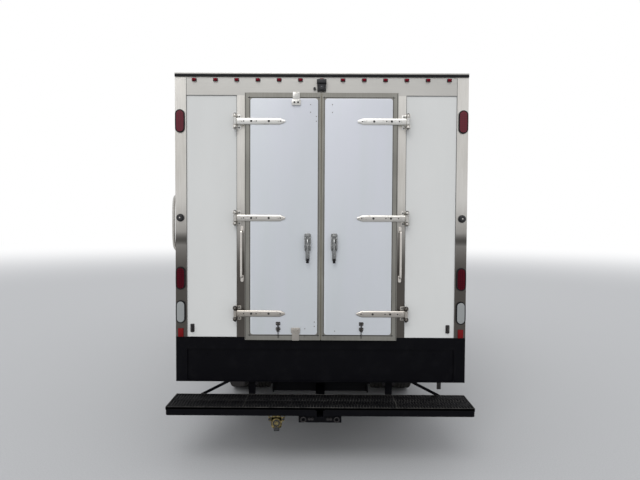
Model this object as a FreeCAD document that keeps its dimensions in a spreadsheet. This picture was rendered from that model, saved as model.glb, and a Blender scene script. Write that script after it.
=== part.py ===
import FreeCAD, Part
import math
import os
import re
import Sketcher

# Low cab-forward box truck: a tilting cab over the front axle and an
# insulated body with two side-hinged rear doors, on a ladder frame.
# Front is +Y, the kerb side is +X, and the wheels stand on z = 0.

doc = FreeCAD.newDocument("BoxTruck")
vec = FreeCAD.Vector
turn = FreeCAD.Rotation

SIZES = {
    # Along the road, from the bumper's face backwards
    "cab_length": 1725,
    "cab_gap": 90,
    "box_length": 4880,
    "step_depth": 284,
    "front_overhang": 1100,
    "wheelbase": 3810,
    # Cargo body
    "box_width": 2438,
    "box_top_height": 3205,
    "floor_height": 1000,
    "floor_thickness": 70,
    "wall_thickness": 80,
    "roof_thickness": 80,
    "front_wall_thickness": 90,
    "front_corner_radius": 70,
    "skin_inset": 6,
    "bottom_rail_height": 130,
    "top_rail_height": 90,
    "roof_edge_chamfer": 14,
    "cross_sill_width": 45,
    "cross_sill_height": 50,
    "cross_sill_count": 14,
    "long_sill_width": 60,
    # Rear frame, measured on the photograph's plane
    "rear_frame_depth": 100,
    "header_rise": 10,
    "header_height": 183,
    "post_width": 95,
    "sill_lip": 13,
    "sill_height": 380,
    "sill_depth": 60,
    "sill_recess": 12,
    "sill_border": 95,
    "sill_band": 102,
    "sill_foot": 8,
    "hinge_post_outer": 704,
    "hinge_post_inner": 615,
    "side_panel_recess": 4,
    "side_panel_depth": 80,
    # Rear doors
    "door_gap": 7,
    "door_meeting_gap": 10,
    "door_flange": 26,
    "door_half_width": 633,
    "door_head_overlap": 15,
    "door_foot_overlap": 17,
    "door_plug_depth": 52,
    "door_plug_inset": 12,
    "door_panel_edge": 47,
    "door_panel_inner_edge": 29,
    "door_panel_end_edge": 48,
    "door_panel_rise": 4,
    "door_panel_corner": 22,
    "door_pin_offset": 77,
    "door_pin_standoff": 55,
    "pin_radius": 8,
    "pin_clearance": 0.05,
    "barrel_wall": 5,
    "strap_length": 413,
    "strap_height": 55,
    "strap_thickness": 10,
    "strap_tip": 34,
    "strap_low_rise": 223,
    "strap_high_drop": 236,
    "butt_lug_gap": 6,
    "butt_lug_height": 24,
    "butt_plate_width": 62,
    "butt_plate_thickness": 12,
    # Door furniture
    "latch_offset": 110,
    "latch_top": 1900,
    "latch_bottom": 1627,
    "latch_width": 54,
    "latch_neck": 34,
    "latch_plate": 8,
    "lever_width": 18,
    "lever_thickness": 12,
    "lever_standoff": 26,
    "lever_pivot_radius": 15,
    "lever_pivot_drop": 70,
    "lever_length": 215,
    "lever_bend": 60,
    "keeper_offset": 206,
    "keeper_width": 76,
    "keeper_height": 106,
    "keeper_thickness": 8,
    "keeper_lip": 14,
    "hook_offset": 346,
    "hook_rise": 95,
    "hook_length": 78,
    "hook_width": 20,
    "hook_standoff": 16,
    "catch_offset": 1074,
    "catch_standoff": 34,
    "handle_offset": 660,
    "handle_low": 1484,
    "handle_high": 1925,
    "handle_bar_radius": 10,
    "handle_standoff": 52,
    "side_handle_low": 1719,
    "side_handle_high": 2229,
    "side_handle_radius": 14,
    "side_handle_standoff": 50,
    "side_handle_inset": 60,
    # Lamps
    "marker_width": 40,
    "marker_height": 25,
    "marker_depth": 18,
    "marker_drop": 47,
    "marker_span": 2114,
    "marker_count": 13,
    "lamp_offset": 1177,
    "lamp_width": 81,
    "lamp_height": 193,
    "lamp_proud": 12,
    "lamp_round_share": 0.49,
    "lamp_high_drop": 397,
    "lamp_low_rise": 495,
    "backup_rise": 211,
    "reflector_rise": 35,
    "reflector_width": 46,
    "reflector_height": 73,
    "reflector_depth": 7,
    "camera_width": 79,
    "camera_rise": 28,
    "camera_tall": 84,
    "camera_depth": 46,
    "buffer_radius": 33,
    "buffer_depth": 26,
    "buffer_height": 2014,
    # Ladder frame and running gear
    "rail_offset": 425,
    "rail_height": 200,
    "rail_top": 800,
    "rail_flange": 65,
    "rail_wall": 6,
    "rail_nose": 205,
    "member_width": 70,
    "member_setback": 105,
    "rail_clearance": 30,
    "rear_member_half": 700,
    "rear_member_height": 150,
    "tyre_radius": 406,
    "tyre_width": 226,
    "tyre_tread_width": 190,
    "tyre_shoulder": 20,
    "wheel_side_count": 40,
    "rim_radius": 247,
    "rim_width": 186,
    "rim_flange": 13,
    "rim_flange_width": 7,
    "rim_wall": 9,
    "disc_thickness": 10,
    "disc_face_radius": 165,
    "hub_radius": 112,
    "hub_nose_share": 0.72,
    "hand_hole_count": 8,
    "hand_hole_radius": 24,
    "hand_hole_pitch_radius": 203,
    "front_track": 1630,
    "rear_track": 1650,
    "dual_spacing": 260,
    "kingpin_offset": 725,
    "kingpin_radius": 18,
    "kingpin_height": 184,
    "axle_boss_height": 84,
    "axle_boss_wall": 20,
    "knuckle_gap": 6,
    "knuckle_fork": 38,
    "knuckle_half_depth": 46,
    "knuckle_plate": 22,
    "spindle_radius": 30,
    "spindle_end": 32,
    "drum_radius": 178,
    "drum_depth": 92,
    "bearing_clearance": 0.05,
    "beam_height": 78,
    "beam_depth": 80,
    "beam_drop": 64,
    "beam_flat_half": 470,
    "beam_neck_half": 640,
    "rear_tube_radius": 62,
    "rear_spindle_radius": 45,
    "rear_spindle_start": 560,
    "rear_hub_start": 600,
    "carrier_radius": 185,
    "carrier_width": 200,
    "carrier_nose": 330,
    "carrier_nose_radius": 75,
    "spring_width": 70,
    "spring_inset": 25,
    "front_spring_half": 600,
    "rear_spring_half": 650,
    "spring_thickness": 26,
    "spring_pack": 50,
    "leaf_count": 4,
    "spring_eye_radius": 26,
    "spring_eye_height": 545,
    "engine_half_width": 325,
    "engine_front": 550,
    "engine_length": 900,
    "engine_low": 450,
    "engine_high": 1090,
    "gearbox_half_width": 170,
    "gearbox_length": 560,
    "gearbox_low": 470,
    "gearbox_high": 770,
    "shaft_radius": 45,
    "tank_length": 900,
    "tank_width": 440,
    "tank_low": 420,
    "tank_high": 770,
    "tank_edge_radius": 60,
    "tank_start": 120,
    "bracket_width": 60,
    "bracket_gap": 40,
    "battery_length": 620,
    "battery_width": 380,
    "battery_low": 460,
    "muffler_radius": 120,
    "muffler_length": 850,
    "muffler_height": 560,
    "muffler_offset": 640,
    "pipe_radius": 38,
    "flap_width": 560,
    "flap_thickness": 8,
    "flap_low": 230,
    "flap_behind": 560,
    "flap_rod_radius": 14,
    # Step bumper
    "step_half_width": 1219,
    "deck_top": 523,
    "deck_thickness": 25,
    "step_face_height": 68,
    "step_face_depth": 40,
    "step_tuck": 14,
    "step_corner_side": 12,
    "step_corner_back": 12,
    "upright_offset": 585,
    "upright_width": 58,
    "upright_thickness": 10,
    "brace_top_offset": 750,
    "brace_foot_offset": 965,
    "brace_width": 50,
    "hitch_half": 38,
    "hitch_bore_half": 25.6,
    "hitch_top": 510,
    "hitch_length": 640,
    "hitch_plate_half": 170,
    "hitch_plate_low": 393,
    "hitch_plate_high": 448,
    "hitch_plate_thickness": 10,
    "hitch_plate_setback": 26,
    "socket_offset": 345,
    "socket_plate_width": 125,
    "socket_plate_low": 329,
    "socket_radius": 34,
    "socket_depth": 60,
    # Cab
    "cab_setback": 80,
    "cab_half_width": 1000,
    "cab_base_half_width": 940,
    "cab_top_height": 2300,
    "cab_floor_under": 850,
    "cab_floor_thickness": 50,
    "cab_skirt_height": 700,
    "cab_nose_height": 665,
    "cab_belt_height": 1400,
    "cab_side_wall": 60,
    "cab_front_wall": 60,
    "cab_back_wall_thickness": 40,
    "cab_roof_wall": 45,
    "cab_corner_radius": 170,
    "cab_roof_line_drop": 170,
    "screen_base_height": 1400,
    "screen_top_drop": 150,
    "screen_base_setback": 25,
    "screen_rake": 305,
    "brow_setback": 110,
    "brow_drop": 38,
    "crown_setback": 300,
    "cab_lean": 75,
    "cab_brow_lean": 140,
    "cab_crown_lean": 230,
    "tunnel_half_width": 345,
    "tunnel_wall": 30,
    "tunnel_clearance": 35,
    "tunnel_front_gap": 45,
    "arch_radius": 480,
    "cab_door_front": 330,
    "cab_door_rear": 1390,
    "cab_door_low": 790,
    "cab_door_arch_height": 905,
    "cab_door_toe": 150,
    "cab_door_ramp": 110,
    "cab_door_toe_inset": 37,
    "cab_door_toe_lap": 40,
    "cab_door_top_drop": 215,
    "cab_door_pillar": 230,
    "cab_door_gap": 6,
    "cab_door_rear_gap": 12,
    "cab_hinge_low": 1000,
    "cab_hinge_high": 1330,
    "cab_hinge_radius": 12,
    "cab_hinge_pin": 6,
    "cab_hinge_standoff": 17,
    "cab_hinge_barrel": 50,
    "cab_hinge_lug": 20,
    "cab_hinge_leaf": 34,
    "window_rail": 95,
    "window_rear_rail": 110,
    "window_front_rail": 85,
    "window_low": 1440,
    "glass_thickness": 6,
    "glass_recess": 10,
    "screen_half_low": 850,
    "screen_half_high": 770,
    "screen_low": 1450,
    "screen_high_drop": 210,
    "rear_window_half": 480,
    "rear_window_low": 1560,
    "rear_window_drop": 280,
    "pivot_setback": 250,
    "pivot_height": 700,
    "pivot_radius": 15,
    "pivot_lug_gap": 8,
    "pivot_lug_thickness": 24,
    "pivot_lug_radius": 36,
    "bumper_thickness": 60,
    "bumper_wall": 12,
    "bumper_low": 390,
    "bumper_high": 640,
    "bumper_half_width": 1010,
    "bumper_corner_radius": 110,
    "bumper_wrap": 280,
    "bumper_bracket_high": 545,
    "bumper_bracket_low": 430,
    "bumper_bracket_reach": 420,
    "headlamp_offset": 760,
    "headlamp_width": 230,
    "headlamp_height": 130,
    "headlamp_centre_height": 820,
    "signal_gap": 22,
    "signal_wrap": 190,
    "grille_half": 615,
    "grille_low": 760,
    "grille_high": 990,
    "grille_depth": 34,
    "slat_count": 4,
    "slat_height": 20,
    "slat_setback": 8,
    "roof_lamp_width": 96,
    "roof_lamp_length": 60,
    "roof_lamp_rise": 24,
    "roof_lamp_inner": 160,
    "roof_lamp_outer": 640,
    "cab_step_front": 300,
    "cab_step_rear": 550,
    "cab_step_height": 500,
    "cab_step_inner": 740,
    "cab_step_plate": 20,
    "cab_step_outer": 930,
    "dash_half_width": 845,
    "dash_low": 1000,
    "dash_high": 1380,
    "dash_depth": 340,
    "dash_knee": 130,
    "wheel_offset": 450,
    "wheel_height": 1370,
    "wheel_setback": 620,
    "wheel_ring_radius": 205,
    "wheel_ring_thickness": 16,
    "wheel_tilt": 40,
    "column_radius": 26,
    "column_run": 430,
    "seat_width": 520,
    "bench_width": 880,
    "seat_base_high": 1180,
    "seat_cushion": 120,
    "seat_front": 900,
    "seat_length": 520,
    "seat_back_thickness": 120,
    "seat_head_room": 375,
    "seat_side_gap": 30,
    "seat_lean": 70,
    "cushion_nose_share": 0.8,
    "seat_top_share": 0.7,
    "mirror_reach": 1290,
    "mirror_width": 200,
    "mirror_depth": 60,
    "mirror_low": 1520,
    "mirror_arm_gap": 45,
    "mirror_setback": 270,
    "mirror_edge_radius": 22,
    "mirror_arm_radius": 11,
    "mirror_arm_low": 1425,
    "mirror_arm_drop": 295,
    "mirror_arm_sweep": 130,
}

# Places that follow from the sizes above
PLACES = {
    "overall_length": "cab_length + cab_gap + box_length + step_depth",
    "front_y": "overall_length / 2",
    "cab_back_y": "front_y - cab_length",
    "box_front_y": "cab_back_y - cab_gap",
    "rear_y": "box_front_y - box_length",
    "step_rear_y": "rear_y - step_depth",
    "front_axle_y": "front_y - front_overhang",
    "rear_axle_y": "front_axle_y - wheelbase",
    "box_half": "box_width / 2",
    "rear_frame_top": "box_top_height + header_rise",
    "opening_top": "rear_frame_top - header_height",
    "sill_top": "floor_height + sill_lip",
    "sill_bottom": "sill_top - sill_height",
    "door_top": "opening_top + door_head_overlap",
    "door_bottom": "sill_top - door_foot_overlap",
    "strap_low_height": "door_bottom + strap_low_rise",
    "strap_high_height": "door_top - strap_high_drop",
    "strap_mid_height": "(strap_low_height + strap_high_height) / 2",
    "hook_height": "sill_top + hook_rise",
    "marker_centre_height": "rear_frame_top - marker_drop",
    "lamp_high_centre": "rear_frame_top - lamp_high_drop",
    "lamp_low_centre": "sill_top + lamp_low_rise",
    "backup_centre": "sill_top + backup_rise",
    "reflector_centre": "sill_top + reflector_rise",
    "camera_low": "opening_top + camera_rise",
    "floor_under": "floor_height - floor_thickness",
    "box_under": "floor_under - cross_sill_height",
    "frame_front_y": "rear_y + rear_frame_depth",
    "post_inner": "box_half - post_width",
    "wall_inner": "box_half - wall_thickness",
    "ceiling": "box_top_height - roof_thickness",
    "nose_inner_y": "box_front_y - front_wall_thickness",
    "hinge_x": "door_half_width + door_pin_offset",
    "hinge_y": "rear_y - door_pin_standoff",
    "door_inner_y": "rear_y - door_gap",
    "door_outer_y": "door_inner_y - door_flange",
    "door_face_y": "door_outer_y - door_panel_rise",
    "strap_outer_y": "door_face_y - strap_thickness",
    "barrel_radius": "pin_radius + barrel_wall",
    "axle_z": "tyre_radius",
    "front_wheel_x": "front_track / 2",
    "rear_inner_x": "rear_track / 2 - dual_spacing / 2",
    "rear_outer_x": "rear_track / 2 + dual_spacing / 2",
    "disc_offset": "dual_spacing / 2",
    "rail_inner": "rail_offset - rail_wall",
    "rail_under": "rail_top - rail_height",
    "rail_front_y": "front_y - rail_nose",
    "rail_rear_y": "rear_y + sill_depth",
    "cab_face_y": "front_y - cab_setback",
    "cab_inner_y": "cab_face_y - cab_front_wall",
    "cab_back_inner_y": "cab_back_y + cab_back_wall_thickness",
    "cab_floor_top": "cab_floor_under + cab_floor_thickness",
    "pivot_y": "front_y - pivot_setback",
    "pivot_lug_outer": "rail_offset - rail_flange - pivot_lug_gap",
    "pivot_lug_inner": "pivot_lug_outer - pivot_lug_thickness",
    "engine_front_y": "front_y - engine_front",
    "engine_rear_y": "engine_front_y - engine_length",
    "gearbox_rear_y": "engine_rear_y - gearbox_length",
    "tunnel_top": "engine_high + tunnel_clearance",
    "cab_roof_line": "cab_top_height - cab_roof_line_drop",
    "screen_top_height": "cab_top_height - screen_top_drop",
    "brow_height": "cab_top_height - brow_drop",
    "screen_high": "cab_top_height - screen_high_drop",
    "cab_door_top": "cab_top_height - cab_door_top_drop",
    "rear_window_high": "cab_top_height - rear_window_drop",
    "seat_back_high": "cab_top_height - cab_roof_wall - seat_head_room",
    "mirror_arm_high": "cab_top_height - mirror_arm_drop",
    "mirror_high": "mirror_arm_high - mirror_arm_gap",
    "screen_base_y": "cab_face_y - screen_base_setback",
    "screen_top_y": "screen_base_y - screen_rake",
    "seat_front_y": "front_y - seat_front",
    "seat_rear_y": "seat_front_y - seat_length",
    "deck_under": "deck_top - deck_thickness",
    "step_face_low": "deck_top - step_face_height",
    "step_front_y": "rear_y + step_tuck",
    "hitch_low": "hitch_top - 2 * hitch_half",
    "flap_y": "rear_axle_y - flap_behind",
    "tank_front_y": "box_front_y - tank_start",
}

sizes = doc.addObject("Spreadsheet::Sheet", "Sizes")
places = doc.addObject("Spreadsheet::Sheet", "Places")
SHEETS = {}
for row, (word, number) in enumerate(SIZES.items(), start=1):
    sizes.set("A%d" % row, word)
    sizes.set("B%d" % row, str(number))
    sizes.setAlias("B%d" % row, word)
    SHEETS[word] = "Sizes." + word
WORD = re.compile(r"[a-z][a-z_]*[a-z]")


def linked(text):
    """Write an expression with each named size pointing at its sheet."""
    return WORD.sub(lambda found: SHEETS.get(found.group(0), found.group(0)), text)


for row, (word, rule) in enumerate(PLACES.items(), start=1):
    places.set("A%d" % row, word)
    places.set("B%d" % row, "=" + linked(rule).replace("Places.", ""))
    places.setAlias("B%d" % row, word)
    SHEETS[word] = "Places." + word
doc.recompute()


def size(text):
    """The present value of an expression in named sizes."""
    return float(sizes.evalExpression(linked(text)))


def minus(text):
    return "-(%s)" % text


def block(x, y, z):
    """A box between pairs of named limits."""
    box = doc.addObject("Part::Box", "Block")
    for side, letter, (low, high) in zip(("Length", "Width", "Height"), "xyz", (x, y, z)):
        box.setExpression(side, linked("(%s) - (%s)" % (high, low)))
        box.setExpression(".Placement.Base." + letter, linked(low))
    return box


AXIS_TURNS = {
    "x": turn(vec(0, 1, 0), 90),
    "y": turn(vec(1, 0, 0), -90),
    "z": turn(),
}


def rod(axis, radius, start, length):
    """A cylinder from a start point along one axis."""
    bar = doc.addObject("Part::Cylinder", "Rod")
    bar.setExpression("Radius", linked(radius))
    bar.setExpression("Height", linked(length))
    bar.Placement = FreeCAD.Placement(vec(), AXIS_TURNS[axis])
    for letter, place in zip("xyz", start):
        bar.setExpression(".Placement.Base." + letter, linked(place))
    return bar


def strut(radius, start, end):
    """A cylinder between two named points."""
    one = vec(*[size(place) for place in start])
    run = vec(*[size(place) for place in end]) - one
    bar = doc.addObject("Part::Cylinder", "Strut")
    bar.setExpression("Radius", linked(radius))
    bar.Height = run.Length
    bar.Placement = FreeCAD.Placement(vec(), turn(vec(0, 0, 1), run))
    for letter, place in zip("xyz", start):
        bar.setExpression(".Placement.Base." + letter, linked(place))
    return bar


PLANES = {"xy": "XY_Plane", "xz": "XZ_Plane", "yz": "YZ_Plane"}


def outline(body, plane, points):
    """A closed, fully dimensioned polygon on one of the body's planes."""
    sketch = body.newObject("Sketcher::SketchObject", "Outline")
    base = [item for item in body.Origin.OriginFeatures if item.Role == PLANES[plane]][0]
    sketch.AttachmentSupport = (base, [""])
    sketch.MapMode = "FlatFace"
    spots = [(size(a), size(b)) for a, b in points]
    count = len(spots)
    for index in range(count):
        here = spots[index]
        there = spots[(index + 1) % count]
        edge = Part.LineSegment(vec(here[0], here[1], 0), vec(there[0], there[1], 0))
        sketch.addGeometry(edge, False)
    for index in range(count):
        sketch.addConstraint(Sketcher.Constraint("Coincident", index, 2, (index + 1) % count, 1))
    for index in range(count):
        for kind, value, text in zip(("DistanceX", "DistanceY"), spots[index], points[index]):
            rule = Sketcher.Constraint(kind, -1, 1, index, 1, value)
            number = sketch.addConstraint(rule)
            sketch.setExpression("Constraints[%d]" % number, linked(text))
    return sketch


def prism(plane, points, low, high):
    """A padded outline between two named stations across its plane."""
    body = doc.addObject("PartDesign::Body", "Prism")
    sketch = outline(body, plane, points)
    offset = minus(low) if plane == "xz" else low
    sketch.setExpression(".AttachmentOffset.Base.z", linked(offset))
    pad = body.newObject("PartDesign::Pad", "Pad")
    pad.Profile = sketch
    pad.setExpression("Length", linked("(%s) - (%s)" % (high, low)))
    pad.Reversed = plane == "xz"
    return body


def turned(points, x, y, z):
    """A solid of revolution about an axle along X, placed at a point."""
    body = doc.addObject("PartDesign::Body", "Turned")
    sketch = outline(body, "xy", points)
    solid = body.newObject("PartDesign::Revolution", "Revolution")
    solid.Profile = sketch
    solid.ReferenceAxis = (sketch, ["H_Axis"])
    solid.Angle = 360
    for letter, place in zip("xyz", (x, y, z)):
        body.setExpression(".Placement.Base." + letter, linked(place))
    return body


def rounded(body, radius, wanted):
    """Fillet the body's edges whose two end points pass a test."""
    doc.recompute()
    base = body.Tip
    names = []
    for index, edge in enumerate(base.Shape.Edges, start=1):
        ends = [corner.Point for corner in edge.Vertexes]
        if len(ends) == 2 and wanted(ends[0], ends[1]):
            names.append("Edge%d" % index)
    fillet = body.newObject("PartDesign::Fillet", "Round")
    fillet.Base = (base, names)
    fillet.setExpression("Radius", linked(radius))
    return body


def along(axis):
    """A test for edges that run along one axis."""
    def wanted(one, other):
        step = other - one
        sides = {"x": (step.y, step.z), "y": (step.x, step.z), "z": (step.x, step.y)}[axis]
        return max(abs(side) for side in sides) < step.Length / 1000
    return wanted


def fused(items):
    whole = doc.addObject("Part::MultiFuse", "Fused")
    whole.Shapes = items
    whole.Refine = True
    return whole


def together(items):
    """Separate solids that make one sub-part."""
    whole = doc.addObject("Part::Compound", "Together")
    whole.Links = items
    return whole


def less(base, tool):
    whole = doc.addObject("Part::Cut", "Less")
    whole.Base = base
    whole.Tool = tool
    return whole


def shared(base, tool):
    whole = doc.addObject("Part::Common", "Shared")
    whole.Base = base
    whole.Tool = tool
    return whole


def mirrored(item):
    """The same piece on the other side of the truck."""
    other = doc.addObject("Part::Mirroring", "Mirrored")
    other.Source = item
    other.Normal = vec(1, 0, 0)
    return other


def both(item):
    return together([item, mirrored(item)])


NODES = {}


def node(label, item):
    NODES[label] = item
    return item


def either_side(label, right):
    """A right-hand piece and its mirrored twin, as two sub-parts."""
    node(label + "_right", right)
    node(label + "_left", mirrored(right))


# Cargo body: floor on cross sills, walls with rails top and bottom, roof
floor = [block((minus("wall_inner"), "wall_inner"), ("frame_front_y", "nose_inner_y"),
               ("floor_under", "floor_height"))]
sill_pitch = "(nose_inner_y - frame_front_y - cross_sill_width) / (cross_sill_count - 1)"
for number in range(int(size("cross_sill_count"))):
    low = "frame_front_y + %d * %s" % (number, sill_pitch)
    floor.append(block((minus("wall_inner"), "wall_inner"), (low, low + " + cross_sill_width"),
                       ("box_under", "floor_under")))
long_sill = block(("rail_offset - long_sill_width", "rail_offset"), ("rail_rear_y", "nose_inner_y"),
                  ("rail_top", "box_under"))
floor += [long_sill, mirrored(long_sill)]
node("cargo_floor", fused(floor))

rail_z = "box_under + bottom_rail_height"
top_z = "ceiling - top_rail_height"
skin_x = "box_half - skin_inset"
wall = prism("xz", [("wall_inner", "box_under"), ("box_half", "box_under"), ("box_half", rail_z),
                    (skin_x, rail_z + " + skin_inset"), (skin_x, top_z + " - skin_inset"),
                    ("box_half", top_z), ("box_half", "ceiling"), ("wall_inner", "ceiling")],
             "frame_front_y", "nose_inner_y")
either_side("cargo_wall", wall)

nose = prism("xy", [(minus("box_half"), "nose_inner_y"), ("box_half", "nose_inner_y"),
                    ("box_half", "box_front_y"), (minus("box_half"), "box_front_y")],
             "box_under", "ceiling")
front_line = size("box_front_y")
rounded(nose, "front_corner_radius",
        lambda one, other: along("z")(one, other) and abs(one.y - front_line) < 1)
node("cargo_front_wall", nose)

roof_low = "box_top_height - roof_edge_chamfer"
roof_side = "box_half - roof_edge_chamfer"
node("cargo_roof", prism("xz", [(minus("box_half"), "ceiling"), ("box_half", "ceiling"),
                                ("box_half", roof_low), (roof_side, "box_top_height"),
                                (minus(roof_side), "box_top_height"),
                                (minus("box_half"), roof_low)],
                         "frame_front_y", "box_front_y"))

# Rear frame: posts, header, fixed side panels, hinge posts and sill
post = block(("post_inner", "box_half"), ("rear_y", "frame_front_y"), ("sill_top", "rear_frame_top"))
node("rear_posts", both(post))
node("rear_header", block((minus("post_inner"), "post_inner"), ("rear_y", "frame_front_y"),
                          ("opening_top", "rear_frame_top")))
side_panel = block(("hinge_post_outer", "post_inner"),
                   ("rear_y + side_panel_recess", "rear_y + side_panel_depth"),
                   ("sill_top", "opening_top"))
node("rear_side_panels", both(side_panel))

sill = doc.addObject("PartDesign::Body", "Sill")
sill_outline = outline(sill, "xz", [(minus("box_half"), "sill_bottom"), ("box_half", "sill_bottom"),
                                    ("box_half", "sill_top"), (minus("box_half"), "sill_top")])
sill_outline.setExpression(".AttachmentOffset.Base.z", linked(minus("rear_y")))
sill_pad = sill.newObject("PartDesign::Pad", "Pad")
sill_pad.Profile = sill_outline
sill_pad.setExpression("Length", linked("sill_depth"))
sill_pad.Reversed = True
recess_x = "box_half - sill_border"
recess_low = "sill_bottom + sill_foot"
recess_high = "sill_top - sill_band"
recess = outline(sill, "xz", [(minus(recess_x), recess_low), (recess_x, recess_low),
                              (recess_x, recess_high), (minus(recess_x), recess_high)])
recess.setExpression(".AttachmentOffset.Base.z", linked(minus("rear_y")))
sill_pocket = sill.newObject("PartDesign::Pocket", "Recess")
sill_pocket.Profile = recess
sill_pocket.setExpression("Length", linked("sill_recess"))
sill_pocket.Reversed = False
sill_ledge = block((minus("box_half"), "box_half"), ("rail_rear_y", "frame_front_y"),
                   ("box_under", "sill_top"))
node("rear_sill", fused([sill, sill_ledge]))

# Hinge posts carry three butts each: a plate, two lugs and a fixed pin
lug_low = "strap_height / 2 + butt_lug_gap"
lug_high = lug_low + " + butt_lug_height"


def butt(height):
    plate = block(("hinge_post_outer", "hinge_post_outer + butt_plate_width"),
                  ("rear_y + side_panel_recess - butt_plate_thickness",
                   "rear_y + side_panel_recess"),
                  (height + " - (%s)" % lug_high, height + " + " + lug_high))
    pieces = [plate]
    for low in (height + " + " + lug_low, height + " - (%s)" % lug_high):
        pieces.append(block(("hinge_x - barrel_radius", "hinge_x + butt_plate_width / 2"),
                            ("hinge_y", "rear_y + side_panel_recess - butt_plate_thickness"),
                            (low, low + " + butt_lug_height")))
        pieces.append(rod("z", "barrel_radius", ("hinge_x", "hinge_y", low), "butt_lug_height"))
    pieces.append(rod("z", "pin_radius", ("hinge_x", "hinge_y", height + " - (%s)" % lug_high),
                      "2 * (%s)" % lug_high))
    return fused(pieces)


STRAP_HEIGHTS = ("strap_low_height", "strap_mid_height", "strap_high_height")
hinge_post = block(("hinge_post_inner", "hinge_post_outer"), ("rear_y", "frame_front_y"),
                   ("sill_top", "opening_top"))
butts = [butt(height) for height in STRAP_HEIGHTS]
node("hinge_posts", both(together([hinge_post] + butts)))

# Rear doors: an outer flange over the frame, a raised panel and a plug
meeting_x = "door_meeting_gap / 2"
plug_x = "hinge_post_inner - door_plug_inset"
door_plate = block((meeting_x, "door_half_width"), ("door_outer_y", "door_inner_y"),
                   ("door_bottom", "door_top"))
panel_x = "door_half_width - door_panel_edge"
panel_low = "door_bottom + door_panel_end_edge"
panel_high = "door_top - door_panel_end_edge"
door_panel = rounded(prism("xz", [("door_panel_inner_edge", panel_low), (panel_x, panel_low),
                                  (panel_x, panel_high), ("door_panel_inner_edge", panel_high)],
                           "door_face_y", "door_outer_y"), "door_panel_corner", along("y"))
door_plug = block(("door_panel_inner_edge", plug_x), ("door_inner_y", "door_inner_y + door_plug_depth"),
                  ("sill_top + door_plug_inset", "opening_top - door_plug_inset"))
either_side("cargo_door", fused([door_plate, door_panel, door_plug]))

strap_half = "strap_height / 2"
strap_end = "hinge_x - strap_length"


def strap(height):
    shoulder = strap_end + " + strap_tip"
    tip_half = "strap_height / 6"
    leaf = prism("xz", [("hinge_x", height + " - " + strap_half),
                        ("hinge_x", height + " + " + strap_half),
                        (shoulder, height + " + " + strap_half),
                        (strap_end, height + " + " + tip_half),
                        (strap_end, height + " - " + tip_half),
                        (shoulder, height + " - " + strap_half)],
                 "strap_outer_y", "door_face_y")
    barrel = rod("z", "barrel_radius", ("hinge_x", "hinge_y", height + " - " + strap_half),
                 "strap_height")
    bore = rod("z", "pin_radius + pin_clearance",
               ("hinge_x", "hinge_y", height + " - strap_height"), "2 * strap_height")
    return less(fused([leaf, barrel]), bore)


plate_y = "door_face_y - latch_plate"
latch_base = prism("xz", [("latch_offset - latch_width / 2", "latch_top"),
                          ("latch_offset - latch_width / 2", "latch_top - latch_width"),
                          ("latch_offset - latch_neck / 2", "latch_top - 2 * latch_width"),
                          ("latch_offset - latch_neck / 2", "latch_bottom"),
                          ("latch_offset + latch_neck / 2", "latch_bottom"),
                          ("latch_offset + latch_neck / 2", "latch_top - 2 * latch_width"),
                          ("latch_offset + latch_width / 2", "latch_top - latch_width"),
                          ("latch_offset + latch_width / 2", "latch_top")],
                   plate_y, "door_face_y")
lever_y = plate_y + " - lever_standoff"
pivot_z = "latch_top - lever_pivot_drop"
lever_arm = prism("yz", [(plate_y + " - lever_thickness", pivot_z + " + lever_width"),
                         (lever_y + " - lever_thickness", pivot_z + " - lever_bend"),
                         (lever_y + " - lever_thickness", pivot_z + " - lever_length"),
                         (lever_y, pivot_z + " - lever_length"),
                         (lever_y, pivot_z + " - lever_bend"),
                         (plate_y, pivot_z + " + lever_width")],
                  "latch_offset - lever_width / 2", "latch_offset + lever_width / 2")
lever_boss = rod("y", "lever_pivot_radius", ("latch_offset", plate_y + " - lever_standoff", pivot_z),
                 "lever_standoff")
latch = fused([latch_base, lever_arm, lever_boss])
keeper_x = ("keeper_offset - keeper_width / 2", "keeper_offset + keeper_width / 2")
top_keeper = fused([
    block(keeper_x, ("door_face_y - keeper_thickness", "door_face_y"),
          ("door_top + door_panel_rise - keeper_height", "door_top + door_panel_rise")),
    block(keeper_x, ("door_face_y - keeper_lip", "door_face_y - keeper_thickness"),
          ("door_top + door_panel_rise - keeper_lip", "door_top + door_panel_rise")),
])
low_keeper = fused([
    block(keeper_x, ("door_face_y - keeper_thickness", "door_face_y"),
          ("door_bottom", "door_bottom + keeper_height")),
    block(keeper_x, ("door_face_y - keeper_lip", "door_face_y - keeper_thickness"),
          ("door_bottom", "door_bottom + keeper_lip")),
])
hook = block(("hook_offset - hook_width / 2", "hook_offset + hook_width / 2"),
             ("door_face_y - hook_standoff", "door_face_y"),
             ("hook_height - hook_length / 2", "hook_height + hook_length / 2"))
hardware = [strap(height) for height in STRAP_HEIGHTS] + [latch, hook]
node("door_hardware_right", together(hardware))
node("door_hardware_left", mirrored(together(hardware + [top_keeper, low_keeper])))

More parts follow.
